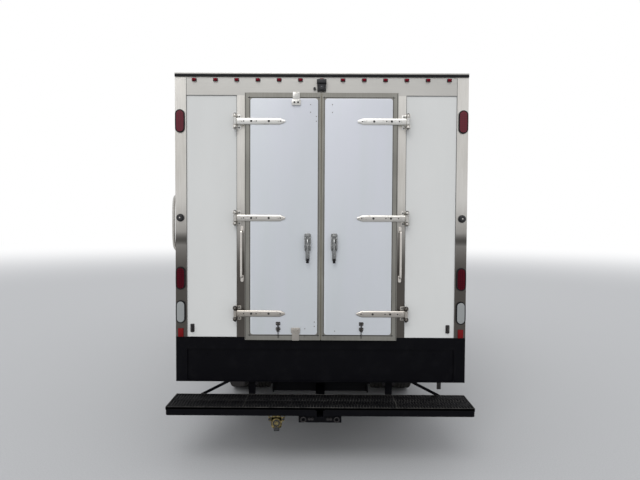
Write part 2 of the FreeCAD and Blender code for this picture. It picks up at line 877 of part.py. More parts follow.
# Handles, catches, lamps and the camera on the rear frame
catch = block(("catch_offset - hook_width / 2", "catch_offset + hook_width / 2"),
              ("rear_y + side_panel_recess - catch_standoff", "rear_y + side_panel_recess"),
              ("hook_height - hook_length / 2", "hook_height - hook_length / 2 + hook_width"))
bar_y = "rear_y - handle_standoff"
handle = [rod("z", "handle_bar_radius", ("handle_offset", bar_y, "handle_low"),
              "handle_high - handle_low")]
for height in ("handle_low + handle_bar_radius", "handle_high - handle_bar_radius"):
    handle.append(rod("y", "handle_bar_radius", ("handle_offset", bar_y, height), "handle_standoff"))
grab = fused(handle)
wall_x = minus("box_half + side_handle_standoff")
grip_y = "rear_y + side_handle_inset"
side_bar = [rod("z", "side_handle_radius", (wall_x, grip_y, "side_handle_low"),
                "side_handle_high - side_handle_low")]
for height in ("side_handle_low + side_handle_radius", "side_handle_high - side_handle_radius"):
    side_bar.append(rod("x", "side_handle_radius", (wall_x, grip_y, height),
                        "side_handle_standoff"))
node("grab_handles", together([both(grab), fused(side_bar), both(catch)]))


def oval(centre):
    plate = prism("xz", [("lamp_offset - lamp_width / 2", centre + " - lamp_height / 2"),
                         ("lamp_offset + lamp_width / 2", centre + " - lamp_height / 2"),
                         ("lamp_offset + lamp_width / 2", centre + " + lamp_height / 2"),
                         ("lamp_offset - lamp_width / 2", centre + " + lamp_height / 2")],
                  "rear_y - lamp_proud", "rear_y")
    return rounded(plate, "lamp_width * lamp_round_share", along("y"))


marker_pitch = "marker_span / (marker_count - 1)"
red = []
for number in range(int(size("marker_count"))):
    low = "%d * %s - marker_span / 2 - marker_width / 2" % (number, marker_pitch)
    red.append(block((low, low + " + marker_width"), ("rear_y - marker_depth", "rear_y"),
                     ("marker_centre_height - marker_height / 2",
                      "marker_centre_height + marker_height / 2")))
reflector = block(("lamp_offset - reflector_width / 2", "lamp_offset + reflector_width / 2"),
                  ("rear_y - reflector_depth", "rear_y"),
                  ("reflector_centre - reflector_height / 2",
                   "reflector_centre + reflector_height / 2"))
red += [both(oval("lamp_high_centre")), both(oval("lamp_low_centre")), both(reflector)]
node("red_lamps", together(red))
node("backup_lamps", both(oval("backup_centre")))
buffer_stop = rod("y", "buffer_radius", ("lamp_offset", "rear_y - buffer_depth", "buffer_height"),
                  "buffer_depth")
camera = block((minus("camera_width / 2"), "camera_width / 2"), ("rear_y - camera_depth", "rear_y"),
               ("camera_low", "camera_low + camera_tall"))
node("rear_camera", together([camera, both(buffer_stop)]))

# Ladder frame
rail_lip = "rail_offset - rail_flange"
rail_floor = "rail_under + rail_wall"
rail_lid = "rail_top - rail_wall"
rail = prism("xz", [("rail_offset", "rail_under"), ("rail_offset", "rail_top"),
                    (rail_lip, "rail_top"), (rail_lip, rail_lid), ("rail_inner", rail_lid),
                    ("rail_inner", rail_floor), (rail_lip, rail_floor), (rail_lip, "rail_under")],
             "rail_rear_y", "rail_front_y")
pivot_pin = rod("x", "pivot_radius", ("pivot_lug_inner - pivot_lug_gap", "pivot_y", "pivot_height"),
                "rail_inner - pivot_lug_inner + pivot_lug_gap")
node("frame_rails", both(fused([rail, pivot_pin])))

members = []
MEMBER_SHARES = (0.47, 0.66, 0.86)
for share in MEMBER_SHARES:
    middle = "rail_front_y - %s * (rail_front_y - rail_rear_y)" % share
    members.append(block((minus("rail_inner"), "rail_inner"),
                         (middle + " - member_width / 2", middle + " + member_width / 2"),
                         (rail_floor, rail_lid)))
members.append(block((minus("rail_inner"), "rail_inner"),
                     ("rail_front_y - member_setback - member_width", "rail_front_y - member_setback"),
                     (rail_floor, "rail_under + member_width")))
members.append(block((minus("rail_inner"), "rail_inner"),
                     ("rail_rear_y", "rail_rear_y + member_width"), (rail_floor, rail_lid)))
node("crossmembers", together(members))

# Front axle beam, its kingpin bosses and the leaf springs
beam_top = "axle_z + beam_height / 2"
beam_low = "axle_z - beam_height / 2"
boss_radius = "kingpin_radius + axle_boss_wall"
neck = "kingpin_offset - kingpin_radius"
beam = prism("xz", [(minus(neck), beam_low), (minus("beam_neck_half"), beam_low),
                    (minus("beam_flat_half"), beam_low + " - beam_drop"),
                    ("beam_flat_half", beam_low + " - beam_drop"), ("beam_neck_half", beam_low),
                    (neck, beam_low), (neck, beam_top), ("beam_neck_half", beam_top),
                    ("beam_flat_half", beam_top + " - beam_drop"),
                    (minus("beam_flat_half"), beam_top + " - beam_drop"),
                    (minus("beam_neck_half"), beam_top), (minus(neck), beam_top)],
             "front_axle_y - beam_depth / 2", "front_axle_y + beam_depth / 2")
boss_low = "axle_z - axle_boss_height / 2"
boss = rod("z", boss_radius, ("kingpin_offset", "front_axle_y", boss_low), "axle_boss_height")
boss_bore = rod("z", "kingpin_radius + bearing_clearance",
                ("kingpin_offset", "front_axle_y", "axle_z - axle_boss_height"),
                "2 * axle_boss_height")
node("front_axle", less(fused([beam, boss, mirrored(boss)]),
                        together([boss_bore, mirrored(boss_bore)])))


LEAF_SHARES = (0.28, 0.54, 0.8)


def spring(axle, half, seat):
    """A stepped leaf pack between two eyes, with a hanger up to the rail at each end."""
    x = ("rail_offset + spring_inset - spring_width", "rail_offset + spring_inset")
    end_top = "spring_eye_height + spring_thickness / 2"
    centre_top = seat + " + spring_pack"

    def under(share, leaves):
        return ("(%s - (%s - spring_width) * %s)" % (half, half, share),
                "%s + (%s - (%s)) * %s - %d * spring_pack / leaf_count"
                % (end_top, centre_top, end_top, share, leaves))

    lower = [under(0, 1)]
    for leaves, share in enumerate(LEAF_SHARES, start=1):
        lower += [under(share, leaves), under(share, leaves + 1)]
    lower.append(("spring_width", seat))
    upper = [("spring_width", centre_top), (half, end_top)]
    points = [("%s - %s" % (axle, y), z) for y, z in lower]
    points += [("%s + %s" % (axle, y), z) for y, z in reversed(lower)]
    points += [("%s + %s" % (axle, y), z) for y, z in reversed(upper)]
    points += [("%s - %s" % (axle, y), z) for y, z in upper]
    pack = [prism("yz", points, x[0], x[1])]
    for sign in "-+":
        eye_y = "%s %s %s" % (axle, sign, half)
        pack.append(rod("x", "spring_eye_radius", (x[0], eye_y, "spring_eye_height"), "spring_width"))
        pack.append(block(x, (eye_y + " - spring_eye_radius", eye_y + " + spring_eye_radius"),
                          ("spring_eye_height", "rail_under")))
    return fused(pack)


front_seat = beam_top + " - beam_drop"
rear_seat = "axle_z + rear_tube_radius"
node("leaf_springs", together([both(spring("front_axle_y", "front_spring_half", front_seat)),
                               both(spring("rear_axle_y", "rear_spring_half", rear_seat))]))

# Steering knuckles: kingpin, fork, plate and spindle
fork_low = "axle_z + axle_boss_height / 2 + knuckle_gap"
knuckle_y = ("front_axle_y - knuckle_half_depth", "front_axle_y + knuckle_half_depth")
plate_x = "kingpin_offset + %s + knuckle_gap" % boss_radius
knuckle_low = "axle_z - axle_boss_height / 2 - knuckle_gap - knuckle_fork"
knuckle_high = fork_low + " + knuckle_fork"
spindle_tip = "front_wheel_x + disc_offset + spindle_end"
knuckle = fused([
    rod("z", "kingpin_radius", ("kingpin_offset", "front_axle_y", knuckle_low),
        "axle_boss_height + 2 * knuckle_gap + 2 * knuckle_fork"),
    block(("kingpin_offset - knuckle_fork", plate_x), knuckle_y, (fork_low, knuckle_high)),
    block(("kingpin_offset - knuckle_fork", plate_x), knuckle_y,
          (knuckle_low, knuckle_low + " + knuckle_fork")),
    block((plate_x, plate_x + " + knuckle_plate"), knuckle_y, (knuckle_low, knuckle_high)),
    rod("x", "spindle_radius", (plate_x, "front_axle_y", "axle_z"),
        "%s - (%s)" % (spindle_tip, plate_x)),
])
either_side("steering_knuckle", knuckle)

# Rear axle: tubes, a round carrier with its nose, and a spindle each side
tube = rod("x", "rear_tube_radius", (minus("rear_spindle_start"), "rear_axle_y", "axle_z"),
           "2 * rear_spindle_start")
rear_spindle_tip = "rear_track / 2 + spindle_end"
spindles = rod("x", "rear_spindle_radius", (minus(rear_spindle_tip), "rear_axle_y", "axle_z"),
               "2 * (%s)" % rear_spindle_tip)
carrier = rod("x", "carrier_radius", (minus("carrier_width / 2"), "rear_axle_y", "axle_z"),
              "carrier_width")
carrier_nose = rod("y", "carrier_nose_radius", ("0", "rear_axle_y", "axle_z"),
                   "carrier_nose")
node("rear_axle", fused([tube, spindles, carrier, carrier_nose]))

# Wheels: a rim barrel with flanges, a dished disc and a hub with its drum
rim_half = "rim_width / 2"
lip = rim_half + " - rim_flange_width"
lip_radius = "rim_radius + rim_flange"
barrel_in = "rim_radius - rim_wall"
disc_root = "disc_offset - disc_face_radius / 2"
WHEEL = [(minus(rim_half), lip_radius), (minus(lip), lip_radius), (minus(lip), "rim_radius"),
         (lip, "rim_radius"), (lip, lip_radius), (rim_half, lip_radius), (rim_half, barrel_in),
         (disc_root + " + disc_thickness", barrel_in), ("disc_offset", "disc_face_radius"),
         ("disc_offset", "hub_radius"), ("disc_offset - disc_thickness", "hub_radius"),
         ("disc_offset - disc_thickness", "disc_face_radius"), (disc_root, barrel_in),
         (minus(rim_half), barrel_in)]


def ringed(points, x, y, z):
    """A ring about an axle along X, with flats that carry the section round."""
    sides = int(size("wheel_side_count"))
    step = 2 * math.pi / sides
    spots = [(size(a), size(b) / math.cos(step / 2)) for a, b in points]
    hoops = []
    for number in range(sides):
        angle = (number + 1 / 2) * step
        hoops.append([vec(a, r * math.sin(angle), r * math.cos(angle)) for a, r in spots])
    faces = []
    for here, there in zip(hoops, hoops[1:] + hoops[:1]):
        for index in range(len(spots)):
            corners = [here[index - 1], here[index], there[index], there[index - 1]]
            faces.append(Part.Face(Part.makePolygon(corners + corners[:1])))
    ring = doc.addObject("Part::Feature", "Ring")
    ring.Shape = Part.Solid(Part.Shell(faces))
    for letter, place in zip("xyz", (x, y, z)):
        ring.setExpression(".Placement.Base." + letter, linked(place))
    return ring


def pierced(rim, x, y):
    """Hand holes on a circle through the dished disc of a rim."""
    holes = []
    count = int(size("hand_hole_count"))
    for number in range(count):
        hole = doc.addObject("Part::Prism", "HandHole")
        hole.Polygon = count
        hole.setExpression("Circumradius", linked("hand_hole_radius"))
        hole.setExpression("Height", linked("rim_width"))
        hole.Placement = FreeCAD.Placement(vec(), AXIS_TURNS["x"])
        angle = "%s * (%d + 1 / 2)" % (360 / count, number)
        hole.setExpression(".Placement.Base.x", linked(x + " - rim_width / 2"))
        hole.setExpression(".Placement.Base.y",
                           linked("%s + hand_hole_pitch_radius * sin(%s)" % (y, angle)))
        hole.setExpression(".Placement.Base.z",
                           linked("axle_z + hand_hole_pitch_radius * cos(%s)" % angle))
        holes.append(hole)
    return less(rim, fused(holes))


def turned_out(points):
    """The same section facing the other way along its axle."""
    return [(minus(a), b) for a, b in reversed(points)]


def hub(start, face, tip, bore_radius):
    """A hub barrel with its flange, the brake drum behind it and a bore."""
    drum_end = start + " + drum_depth"
    return [(start, bore_radius), (start, "drum_radius"), (drum_end, "drum_radius"),
            (drum_end, "hub_radius"), (face, "hub_radius"),
            (tip, "hub_radius * hub_nose_share"), (tip, bore_radius)]


front_start = "knuckle_plate + knuckle_gap"
front_hub_start = plate_x + " + " + front_start + " - front_wheel_x"
front_bore = "spindle_radius + bearing_clearance"
front_hub = turned(hub(front_hub_start, "disc_offset", "disc_offset + spindle_end", front_bore),
                   "front_wheel_x", "front_axle_y", "axle_z")
front_rim = pierced(ringed(WHEEL, "front_wheel_x", "front_axle_y", "axle_z"),
                    "front_wheel_x", "front_axle_y")
either_side("front_wheel", together([front_hub, front_rim]))

rear_bore = "rear_spindle_radius + bearing_clearance"
rear_hub = turned(hub("rear_hub_start - rear_track / 2", "disc_thickness",
                      "spindle_end", rear_bore),
                  "rear_track / 2", "rear_axle_y", "axle_z")
inner_rim = pierced(ringed(WHEEL, "rear_inner_x", "rear_axle_y", "axle_z"),
                    "rear_inner_x", "rear_axle_y")
outer_rim = pierced(ringed(turned_out(WHEEL), "rear_outer_x", "rear_axle_y", "axle_z"),
                    "rear_outer_x", "rear_axle_y")
either_side("rear_wheels", together([rear_hub, inner_rim, outer_rim]))

# Tyres seat between the rim flanges
tread = "tyre_tread_width / 2"
TYRE = [(minus(lip), "rim_radius"), (minus(lip), lip_radius),
        (minus("tyre_width / 2"), "(tyre_radius + rim_radius) / 2"),
        (minus(tread), "tyre_radius - tyre_shoulder"),
        (minus(tread) + " + tyre_shoulder", "tyre_radius"),
        (tread + " - tyre_shoulder", "tyre_radius"), (tread, "tyre_radius - tyre_shoulder"),
        ("tyre_width / 2", "(tyre_radius + rim_radius) / 2"), (lip, lip_radius),
        (lip, "rim_radius")]
either_side("front_tyre", ringed(TYRE, "front_wheel_x", "front_axle_y", "axle_z"))
either_side("rear_inner_tyre", ringed(TYRE, "rear_inner_x", "rear_axle_y", "axle_z"))
either_side("rear_outer_tyre", ringed(TYRE, "rear_outer_x", "rear_axle_y", "axle_z"))

# Engine, gearbox and propeller shaft
engine = block((minus("engine_half_width"), "engine_half_width"), ("engine_rear_y", "engine_front_y"),
               ("engine_low", "engine_high"))
gearbox = block((minus("gearbox_half_width"), "gearbox_half_width"),
                ("gearbox_rear_y", "engine_rear_y"), ("gearbox_low", "gearbox_high"))
node("engine_block", fused([engine, gearbox]))
shaft = strut("shaft_radius", ("0", "rear_axle_y + carrier_nose - shaft_radius", "axle_z"),
              ("0", "gearbox_rear_y + shaft_radius", "(gearbox_low + gearbox_high) / 2"))
node("propeller_shaft", less(less(shaft, gearbox), carrier_nose))

# Tank, battery box and muffler hang on brackets outside the rails
tank_x = ("rail_offset + bracket_gap", "rail_offset + bracket_gap + tank_width")
tank_points = [(tank_x[0], "tank_low"), (tank_x[1], "tank_low"), (tank_x[1], "tank_high"),
               (tank_x[0], "tank_high")]
tank = rounded(prism("xz", tank_points, "tank_front_y - tank_length", "tank_front_y"),
               "tank_edge_radius", along("y"))
tank_parts = [tank]
BRACKET_SHARES = (0.22, 0.78)
for share in BRACKET_SHARES:
    y = "tank_front_y - %s * tank_length" % share
    tank_parts.append(block(("rail_offset", tank_x[0] + " + tank_edge_radius"),
                            (y + " - bracket_width / 2", y + " + bracket_width / 2"),
                            ("rail_under + rail_wall", "rail_top - rail_wall - bracket_gap")))
node("fuel_tank", mirrored(fused(tank_parts)))
battery_x = ("rail_offset + bracket_gap", "rail_offset + bracket_gap + battery_width")
battery = block(battery_x, ("tank_front_y - battery_length", "tank_front_y"),
                ("battery_low", "tank_high"))
battery_parts = [battery]
for share in BRACKET_SHARES:
    y = "tank_front_y - %s * battery_length" % share
    battery_parts.append(block(("rail_offset", battery_x[0]),
                               (y + " - bracket_width / 2", y + " + bracket_width / 2"),
                               ("rail_under + rail_wall", "rail_top - rail_wall - bracket_gap")))
node("battery_box", fused(battery_parts))
muffler_y = "tank_front_y - battery_length - muffler_length - bracket_width"
muffler = rod("y", "muffler_radius", ("muffler_offset", muffler_y, "muffler_height"),
              "muffler_length")
muffler_parts = [muffler]
for share in BRACKET_SHARES:
    y = "%s + %s * muffler_length" % (muffler_y, share)
    muffler_parts.append(block(("rail_offset", "muffler_offset"),
                               (y + " - bracket_width / 4", y + " + bracket_width / 4"),
                               ("muffler_height", "muffler_height + muffler_radius")))
muffler_parts.append(rod("x", "pipe_radius",
                         ("muffler_offset", muffler_y + " + 2 * pipe_radius", "muffler_height"),
                         "box_half - muffler_offset - 2 * pipe_radius"))
node("exhaust", fused(muffler_parts))

# Mud flaps hang on a rod behind the rear wheels
flap_x = "rear_outer_x + tyre_width / 2 - flap_width"
flap = block((flap_x, flap_x + " + flap_width"), ("flap_y - flap_thickness", "flap_y"),
             ("flap_low", "box_under - flap_rod_radius"))
flap_rod = rod("x", "flap_rod_radius", ("rail_offset", "flap_y", "box_under - flap_rod_radius"),
               flap_x + " + flap_width - rail_offset")
node("mud_flaps", both(fused([flap, flap_rod])))

# Step bumper: grating deck, channels, uprights, braces and the hitch
corner_y = "step_rear_y + step_corner_side"
corner_x = "step_half_width - step_corner_back"
DECK = [(minus("step_half_width"), "step_front_y"), (minus("step_half_width"), corner_y),
        (minus(corner_x), "step_rear_y"), (corner_x, "step_rear_y"),
        ("step_half_width", corner_y), ("step_half_width", "step_front_y")]
hitch_x = (minus("hitch_half"), "hitch_half")
hitch_block = block(hitch_x, ("step_rear_y", "step_rear_y + hitch_length"), ("hitch_low", "hitch_top"))
node("step_deck", less(prism("xy", DECK, "deck_under", "deck_top"), hitch_block))
inside_x = "step_half_width - step_face_depth"
ring = less(prism("xy", DECK, "step_face_low", "deck_under"),
            block((minus(inside_x), inside_x),
                  ("step_rear_y + step_face_depth", "step_front_y - step_face_depth"),
                  ("step_face_low - deck_thickness", "deck_top")))
upright = block(("upright_offset - upright_width / 2", "upright_offset + upright_width / 2"),
                ("rail_rear_y", "rail_rear_y + upright_thickness"),
                ("step_face_low", "rail_top - rail_wall"))
foot = block(("upright_offset - upright_width / 2", "upright_offset + upright_width / 2"),
             ("step_front_y - step_face_depth", "rail_rear_y + upright_thickness"),
             ("step_face_low", "step_face_low + upright_thickness"))
outrigger = block(("rail_offset", "rear_member_half"),
                  ("rail_rear_y + upright_thickness", "rail_rear_y + member_width"),
                  ("rail_top - rear_member_height", "rail_top - rail_wall"))
brace = prism("xz", [("brace_foot_offset", "step_face_low"),
                     ("brace_foot_offset + brace_width", "step_face_low"),
                     ("brace_foot_offset + brace_width", "deck_top"),
                     ("brace_top_offset + brace_width", "sill_bottom"),
                     ("brace_top_offset", "sill_bottom"), ("brace_foot_offset", "deck_top")],
              "step_front_y", "step_front_y + upright_thickness")
hitch_bore = block((minus("hitch_bore_half"), "hitch_bore_half"),
                   ("step_rear_y - hitch_half", "step_rear_y + hitch_length"),
                   ("hitch_low + hitch_half - hitch_bore_half",
                    "hitch_low + hitch_half + hitch_bore_half"))
cross_tube = block((minus("rail_offset"), "rail_offset"),
                   ("step_rear_y + hitch_length", "step_rear_y + hitch_length + 2 * hitch_half"),
                   ("hitch_low", "hitch_top"))
drop_plate = block(("rail_offset", "rail_offset + upright_thickness"),
                   ("step_rear_y + hitch_length - hitch_half",
                    "step_rear_y + hitch_length + 3 * hitch_half"),
                   ("hitch_low", "rail_top - rail_wall"))
chain_plate = prism("xz", [(minus("hitch_plate_half"), "hitch_plate_low"),
                           ("hitch_plate_half", "hitch_plate_low"),
                           ("hitch_plate_half", "hitch_plate_high"),
                           (minus("hitch_plate_half"), "hitch_plate_high")],
                    "step_rear_y + hitch_plate_setback",
                    "step_rear_y + hitch_plate_setback + hitch_plate_thickness")
step_frame = fused([ring, upright, mirrored(upright), foot, mirrored(foot), outrigger,
                    mirrored(outrigger), brace, mirrored(brace), hitch_block, cross_tube,
                    drop_plate, mirrored(drop_plate), chain_plate])
node("step_bumper", less(step_frame, hitch_bore))
socket_x = ("socket_offset - socket_plate_width / 2", "socket_offset + socket_plate_width / 2")
socket_y = "step_rear_y + step_face_depth"
socket_plate = block(socket_x, (socket_y + " - hitch_plate_thickness", socket_y),
                     ("socket_plate_low", "step_face_low"))
socket = rod("y", "socket_radius", ("socket_offset", socket_y + " - hitch_plate_thickness - 2 * lamp_proud",
                                    "(socket_plate_low + step_face_low) / 2"),
             "socket_depth")
node("trailer_socket", mirrored(fused([socket_plate, socket])))

# Cab shell: three outlines crossed, less the same three moved in by the walls
cab_side = prism("yz", [
    ("cab_back_y", "cab_skirt_height"),
    ("cab_face_y - cab_door_front", "cab_skirt_height"),
    ("cab_face_y - cab_door_front + cab_skirt_height - cab_nose_height", "cab_nose_height"),
    ("cab_face_y", "cab_nose_height"),
    ("cab_face_y", "screen_base_height - cab_setback"),
    ("screen_base_y", "screen_base_height"),
    ("screen_top_y", "screen_top_height"),
    ("screen_top_y - brow_setback", "brow_height"),
    ("screen_top_y - crown_setback", "cab_top_height"),
    ("cab_back_y + cab_back_wall_thickness", "cab_top_height"),
    ("cab_back_y", "cab_top_height - cab_roof_wall")],
    minus("cab_half_width"), "cab_half_width")


def across(wall, roof, base):
    """Half of the cab's front outline, moved in by the wall and roof."""
    half = "cab_half_width - " + wall
    return [("cab_base_half_width - " + wall, base),
            (half, "cab_skirt_height + cab_side_wall + cab_side_wall"),
            (half, "cab_belt_height"),
            (half + " - cab_lean", "cab_roof_line"),
            (half + " - cab_brow_lean", "brow_height - " + roof),
            (half + " - cab_crown_lean", "cab_top_height - " + roof)]


def whole(half):
    return half + [(minus(a), b) for a, b in reversed(half)]


cab_front = prism("xz", whole(across("0", "0", "cab_nose_height")),
                  "cab_back_y", "front_y")
cab_plan = prism("xy", [(minus("cab_half_width"), "cab_back_y"), ("cab_half_width", "cab_back_y"),
                        ("cab_half_width", "cab_face_y"), (minus("cab_half_width"), "cab_face_y")],
                 "cab_nose_height", "cab_top_height")
face_line = size("cab_face_y")
rounded(cab_plan, "cab_corner_radius",
        lambda one, other: along("z")(one, other) and abs(one.y - face_line) < 1)
cab_solid = shared(shared(cab_side, cab_front), cab_plan)

room_side = prism("yz", [
    ("cab_back_inner_y", "cab_nose_height - cab_side_wall"),
    ("cab_inner_y", "cab_nose_height - cab_side_wall"),
    ("cab_inner_y", "screen_base_height - cab_setback"),
    ("screen_base_y - cab_front_wall", "screen_base_height"),
    ("screen_top_y - cab_front_wall", "screen_top_height - cab_roof_wall"),
    ("screen_top_y - brow_setback - cab_front_wall", "brow_height - cab_roof_wall"),
    ("screen_top_y - crown_setback", "cab_top_height - cab_roof_wall"),
    ("cab_back_inner_y", "cab_top_height - cab_roof_wall")],
    minus("cab_half_width"), "cab_half_width")
room_front = prism("xz", whole(across("cab_side_wall", "cab_roof_wall",
                                      "cab_nose_height - cab_side_wall")),
                   "cab_back_y", "front_y")
room_plan = prism("xy", [(minus("cab_half_width"), "cab_back_y"), ("cab_half_width", "cab_back_y"),
                         ("cab_half_width", "cab_inner_y"), (minus("cab_half_width"), "cab_inner_y")],
                  "cab_nose_height - cab_side_wall", "cab_top_height")
inner_line = size("cab_inner_y")
rounded(room_plan, "cab_corner_radius",
        lambda one, other: along("z")(one, other) and abs(one.y - inner_line) < 1)
room = shared(shared(room_side, room_front), room_plan)
arch = rod("x", "arch_radius", (minus("cab_half_width"), "front_axle_y", "axle_z"),
           "2 * cab_half_width")
shell = less(less(cab_solid, room), arch)


def door_outline(gap, rear_gap):
    """The cab door's opening, or the door itself when gaps are given."""
    front = "front_y - cab_door_front - " + gap
    rear = "front_y - cab_door_rear + " + rear_gap
    toe = "front_y - cab_door_front - cab_door_toe + " + rear_gap
    return [(front, "cab_door_low + " + gap), (toe, "cab_door_low + " + gap),
            (toe + " - cab_door_ramp", "cab_door_arch_height + " + gap),
            (rear, "cab_door_arch_height + " + gap), (rear, "cab_door_top - " + gap),
            (front + " - cab_door_pillar", "cab_door_top - " + gap),
            (front, "window_low - " + gap)]


opening = prism("yz", door_outline("0", "0"), "cab_half_width / 2", "cab_half_width")
doorway = prism("yz", door_outline("cab_door_gap", "cab_door_rear_gap"), "cab_half_width / 2",
                "cab_half_width")
window_tool = prism("yz", [
    ("front_y - cab_door_front - window_front_rail", "window_low"),
    ("front_y - cab_door_rear + window_rear_rail", "window_low"),
    ("front_y - cab_door_rear + window_rear_rail", "cab_door_top - window_rail"),
    ("front_y - cab_door_front - cab_door_pillar - window_front_rail",
     "cab_door_top - window_rail")], "cab_half_width / 2", "cab_half_width")
toe_y = "front_y - cab_door_front - cab_door_toe"
toe_relief = block(("cab_half_width / 2", "cab_half_width - cab_door_toe_inset"),
                   (toe_y + " - cab_door_ramp", toe_y + " + cab_door_toe_lap"),
                   ("cab_door_low", "cab_door_arch_height + cab_door_toe_lap"))
door_blank = less(less(shared(shell, doorway), window_tool), toe_relief)

# Each cab door hangs on two barrel hinges just outside the skin
hinge_line_x = "cab_half_width + cab_hinge_standoff"
hinge_line_y = "front_y - cab_door_front - cab_door_gap / 2"
leaf_x = ("cab_half_width", hinge_line_x)
half_barrel = "cab_hinge_barrel / 2"
lug_base = half_barrel + " + butt_lug_gap"
lug_end = lug_base + " + cab_hinge_lug"
door_hinges = []
front_hinges = []
for height in ("cab_hinge_low", "cab_hinge_high"):
    door_z = (height + " - " + half_barrel, height + " + " + half_barrel)
    leaf = block(leaf_x, (hinge_line_y + " - cab_hinge_leaf", hinge_line_y + " - cab_door_gap / 2"),
                 door_z)
    barrel = rod("z", "cab_hinge_radius", (hinge_line_x, hinge_line_y, door_z[0]),
                 "cab_hinge_barrel")
    bore = rod("z", "cab_hinge_pin + pin_clearance",
               (hinge_line_x, hinge_line_y, height + " - cab_hinge_barrel"),
               "2 * cab_hinge_barrel")
    door_hinges.append(less(fused([leaf, barrel]), bore))
    for low in (height + " + " + lug_base, height + " - (%s)" % lug_end):
        front_hinges.append(block(leaf_x, (hinge_line_y + " + cab_door_gap / 2",
                                           hinge_line_y + " + cab_hinge_leaf"),
                                  (low, low + " + cab_hinge_lug")))
        front_hinges.append(rod("z", "cab_hinge_radius", (hinge_line_x, hinge_line_y, low),
                                "cab_hinge_lug"))
    front_hinges.append(rod("z", "cab_hinge_pin",
                            (hinge_line_x, hinge_line_y, height + " - (%s)" % lug_end),
                            "2 * (%s)" % lug_end))
front_hinge = fused(front_hinges)
either_side("cab_door", fused([door_blank] + door_hinges))


def pane(recess):
    half = "cab_half_width - " + recess
    return [(half, "cab_belt_height"), (half + " - cab_lean", "cab_roof_line")]


outer_pane = pane("glass_recess")
inner_pane = pane("glass_recess - glass_thickness")
side_glass = prism("xz", outer_pane + list(reversed(inner_pane)), "cab_back_y", "cab_face_y")
either_side("cab_door_glass", shared(side_glass, window_tool))

# The shell's fixed panels
opened = less(shell, both(opening))
screen_tool = prism("xz", [(minus("screen_half_low"), "screen_low"), ("screen_half_low", "screen_low"),
                           ("screen_half_high", "screen_high"),
                           (minus("screen_half_high"), "screen_high")],
                    "cab_face_y - cab_door_front - cab_setback", "front_y")
screened = less(opened, screen_tool)
wide = (minus("cab_half_width"), "cab_half_width")
front_zone = block(wide, ("front_y - cab_door_front", "front_y"), ("cab_nose_height", "screen_low"))
roof_zone = block(wide, ("cab_back_y", "front_y"), ("screen_high", "cab_top_height"))
back_zone = block(wide, ("cab_back_y", "cab_back_inner_y"), ("cab_skirt_height", "screen_high"))
front_panel = shared(screened, front_zone)
node("cab_roof", shared(screened, roof_zone))
rear_window = block((minus("rear_window_half"), "rear_window_half"), ("cab_back_y", "cab_back_inner_y"),
                    ("rear_window_low", "rear_window_high"))
back_opening = block((minus("tunnel_half_width"), "tunnel_half_width"),
                     ("cab_back_y", "cab_back_inner_y"), ("cab_skirt_height", "cab_floor_top"))
rail_notch = block((minus("rail_offset + rail_clearance"), "rail_offset + rail_clearance"),
                   ("cab_back_y", "cab_back_inner_y"),
                   ("cab_skirt_height", "rail_top + rail_clearance"))
node("cab_back_wall", less(less(less(shared(screened, back_zone), rear_window), back_opening),
                           rail_notch))
side_low = block(wide, ("cab_back_inner_y", "front_y - cab_door_front"),
                 ("cab_skirt_height", "screen_high"))
side_high = block(wide, ("front_y - cab_door_front", "front_y"), ("screen_low", "screen_high"))
node("cab_side_frames", shared(screened, fused([side_low, side_high])))

slab_front = [("screen_base_y - glass_recess", "screen_base_height"),
              ("screen_top_y - glass_recess", "screen_top_height"),
              ("screen_top_y - glass_recess - glass_thickness", "screen_top_height"),
              ("screen_base_y - glass_recess - glass_thickness", "screen_base_height")]
screen_slab = prism("yz", slab_front, minus("cab_half_width"), "cab_half_width")
rear_pane = block((minus("rear_window_half"), "rear_window_half"),
                  ("cab_back_y + glass_recess", "cab_back_y + glass_recess + glass_thickness"),
                  ("rear_window_low", "rear_window_high"))
node("cab_glass", together([shared(screen_slab, screen_tool), rear_pane]))

# Cab floor with the engine tunnel and the tilt lugs
floor_x = "cab_base_half_width - cab_side_wall"
floor_slab = shared(block((minus(floor_x), floor_x), ("cab_back_inner_y", "cab_inner_y"),
                          ("cab_floor_under", "cab_floor_top")), room)
tunnel_front_y = "engine_front_y + tunnel_front_gap"
tunnel_out = block((minus("tunnel_half_width + tunnel_wall"), "tunnel_half_width + tunnel_wall"),
                   ("cab_back_inner_y", tunnel_front_y + " + tunnel_wall"),
                   ("cab_floor_under", "tunnel_top + tunnel_wall"))
tunnel_in = block((minus("tunnel_half_width"), "tunnel_half_width"),
                  ("cab_back_inner_y + tunnel_wall", tunnel_front_y),
                  ("cab_skirt_height", "tunnel_top"))
lug_block = block(("pivot_lug_inner", "pivot_lug_outer"),
                  ("pivot_y - pivot_lug_radius", "pivot_y + pivot_lug_radius"),
                  ("pivot_height", "cab_floor_under"))
lug_round = rod("x", "pivot_lug_radius", ("pivot_lug_inner", "pivot_y", "pivot_height"),
                "pivot_lug_thickness")
lug_bore = rod("x", "pivot_radius + pin_clearance",
               ("pivot_lug_inner - pivot_lug_thickness", "pivot_y", "pivot_height"),
               "3 * pivot_lug_thickness")
lug = less(fused([lug_block, lug_round]), lug_bore)
cab_floor = less(fused([floor_slab, tunnel_out]), tunnel_in)
node("cab_floor", fused([cab_floor, lug, mirrored(lug)]))

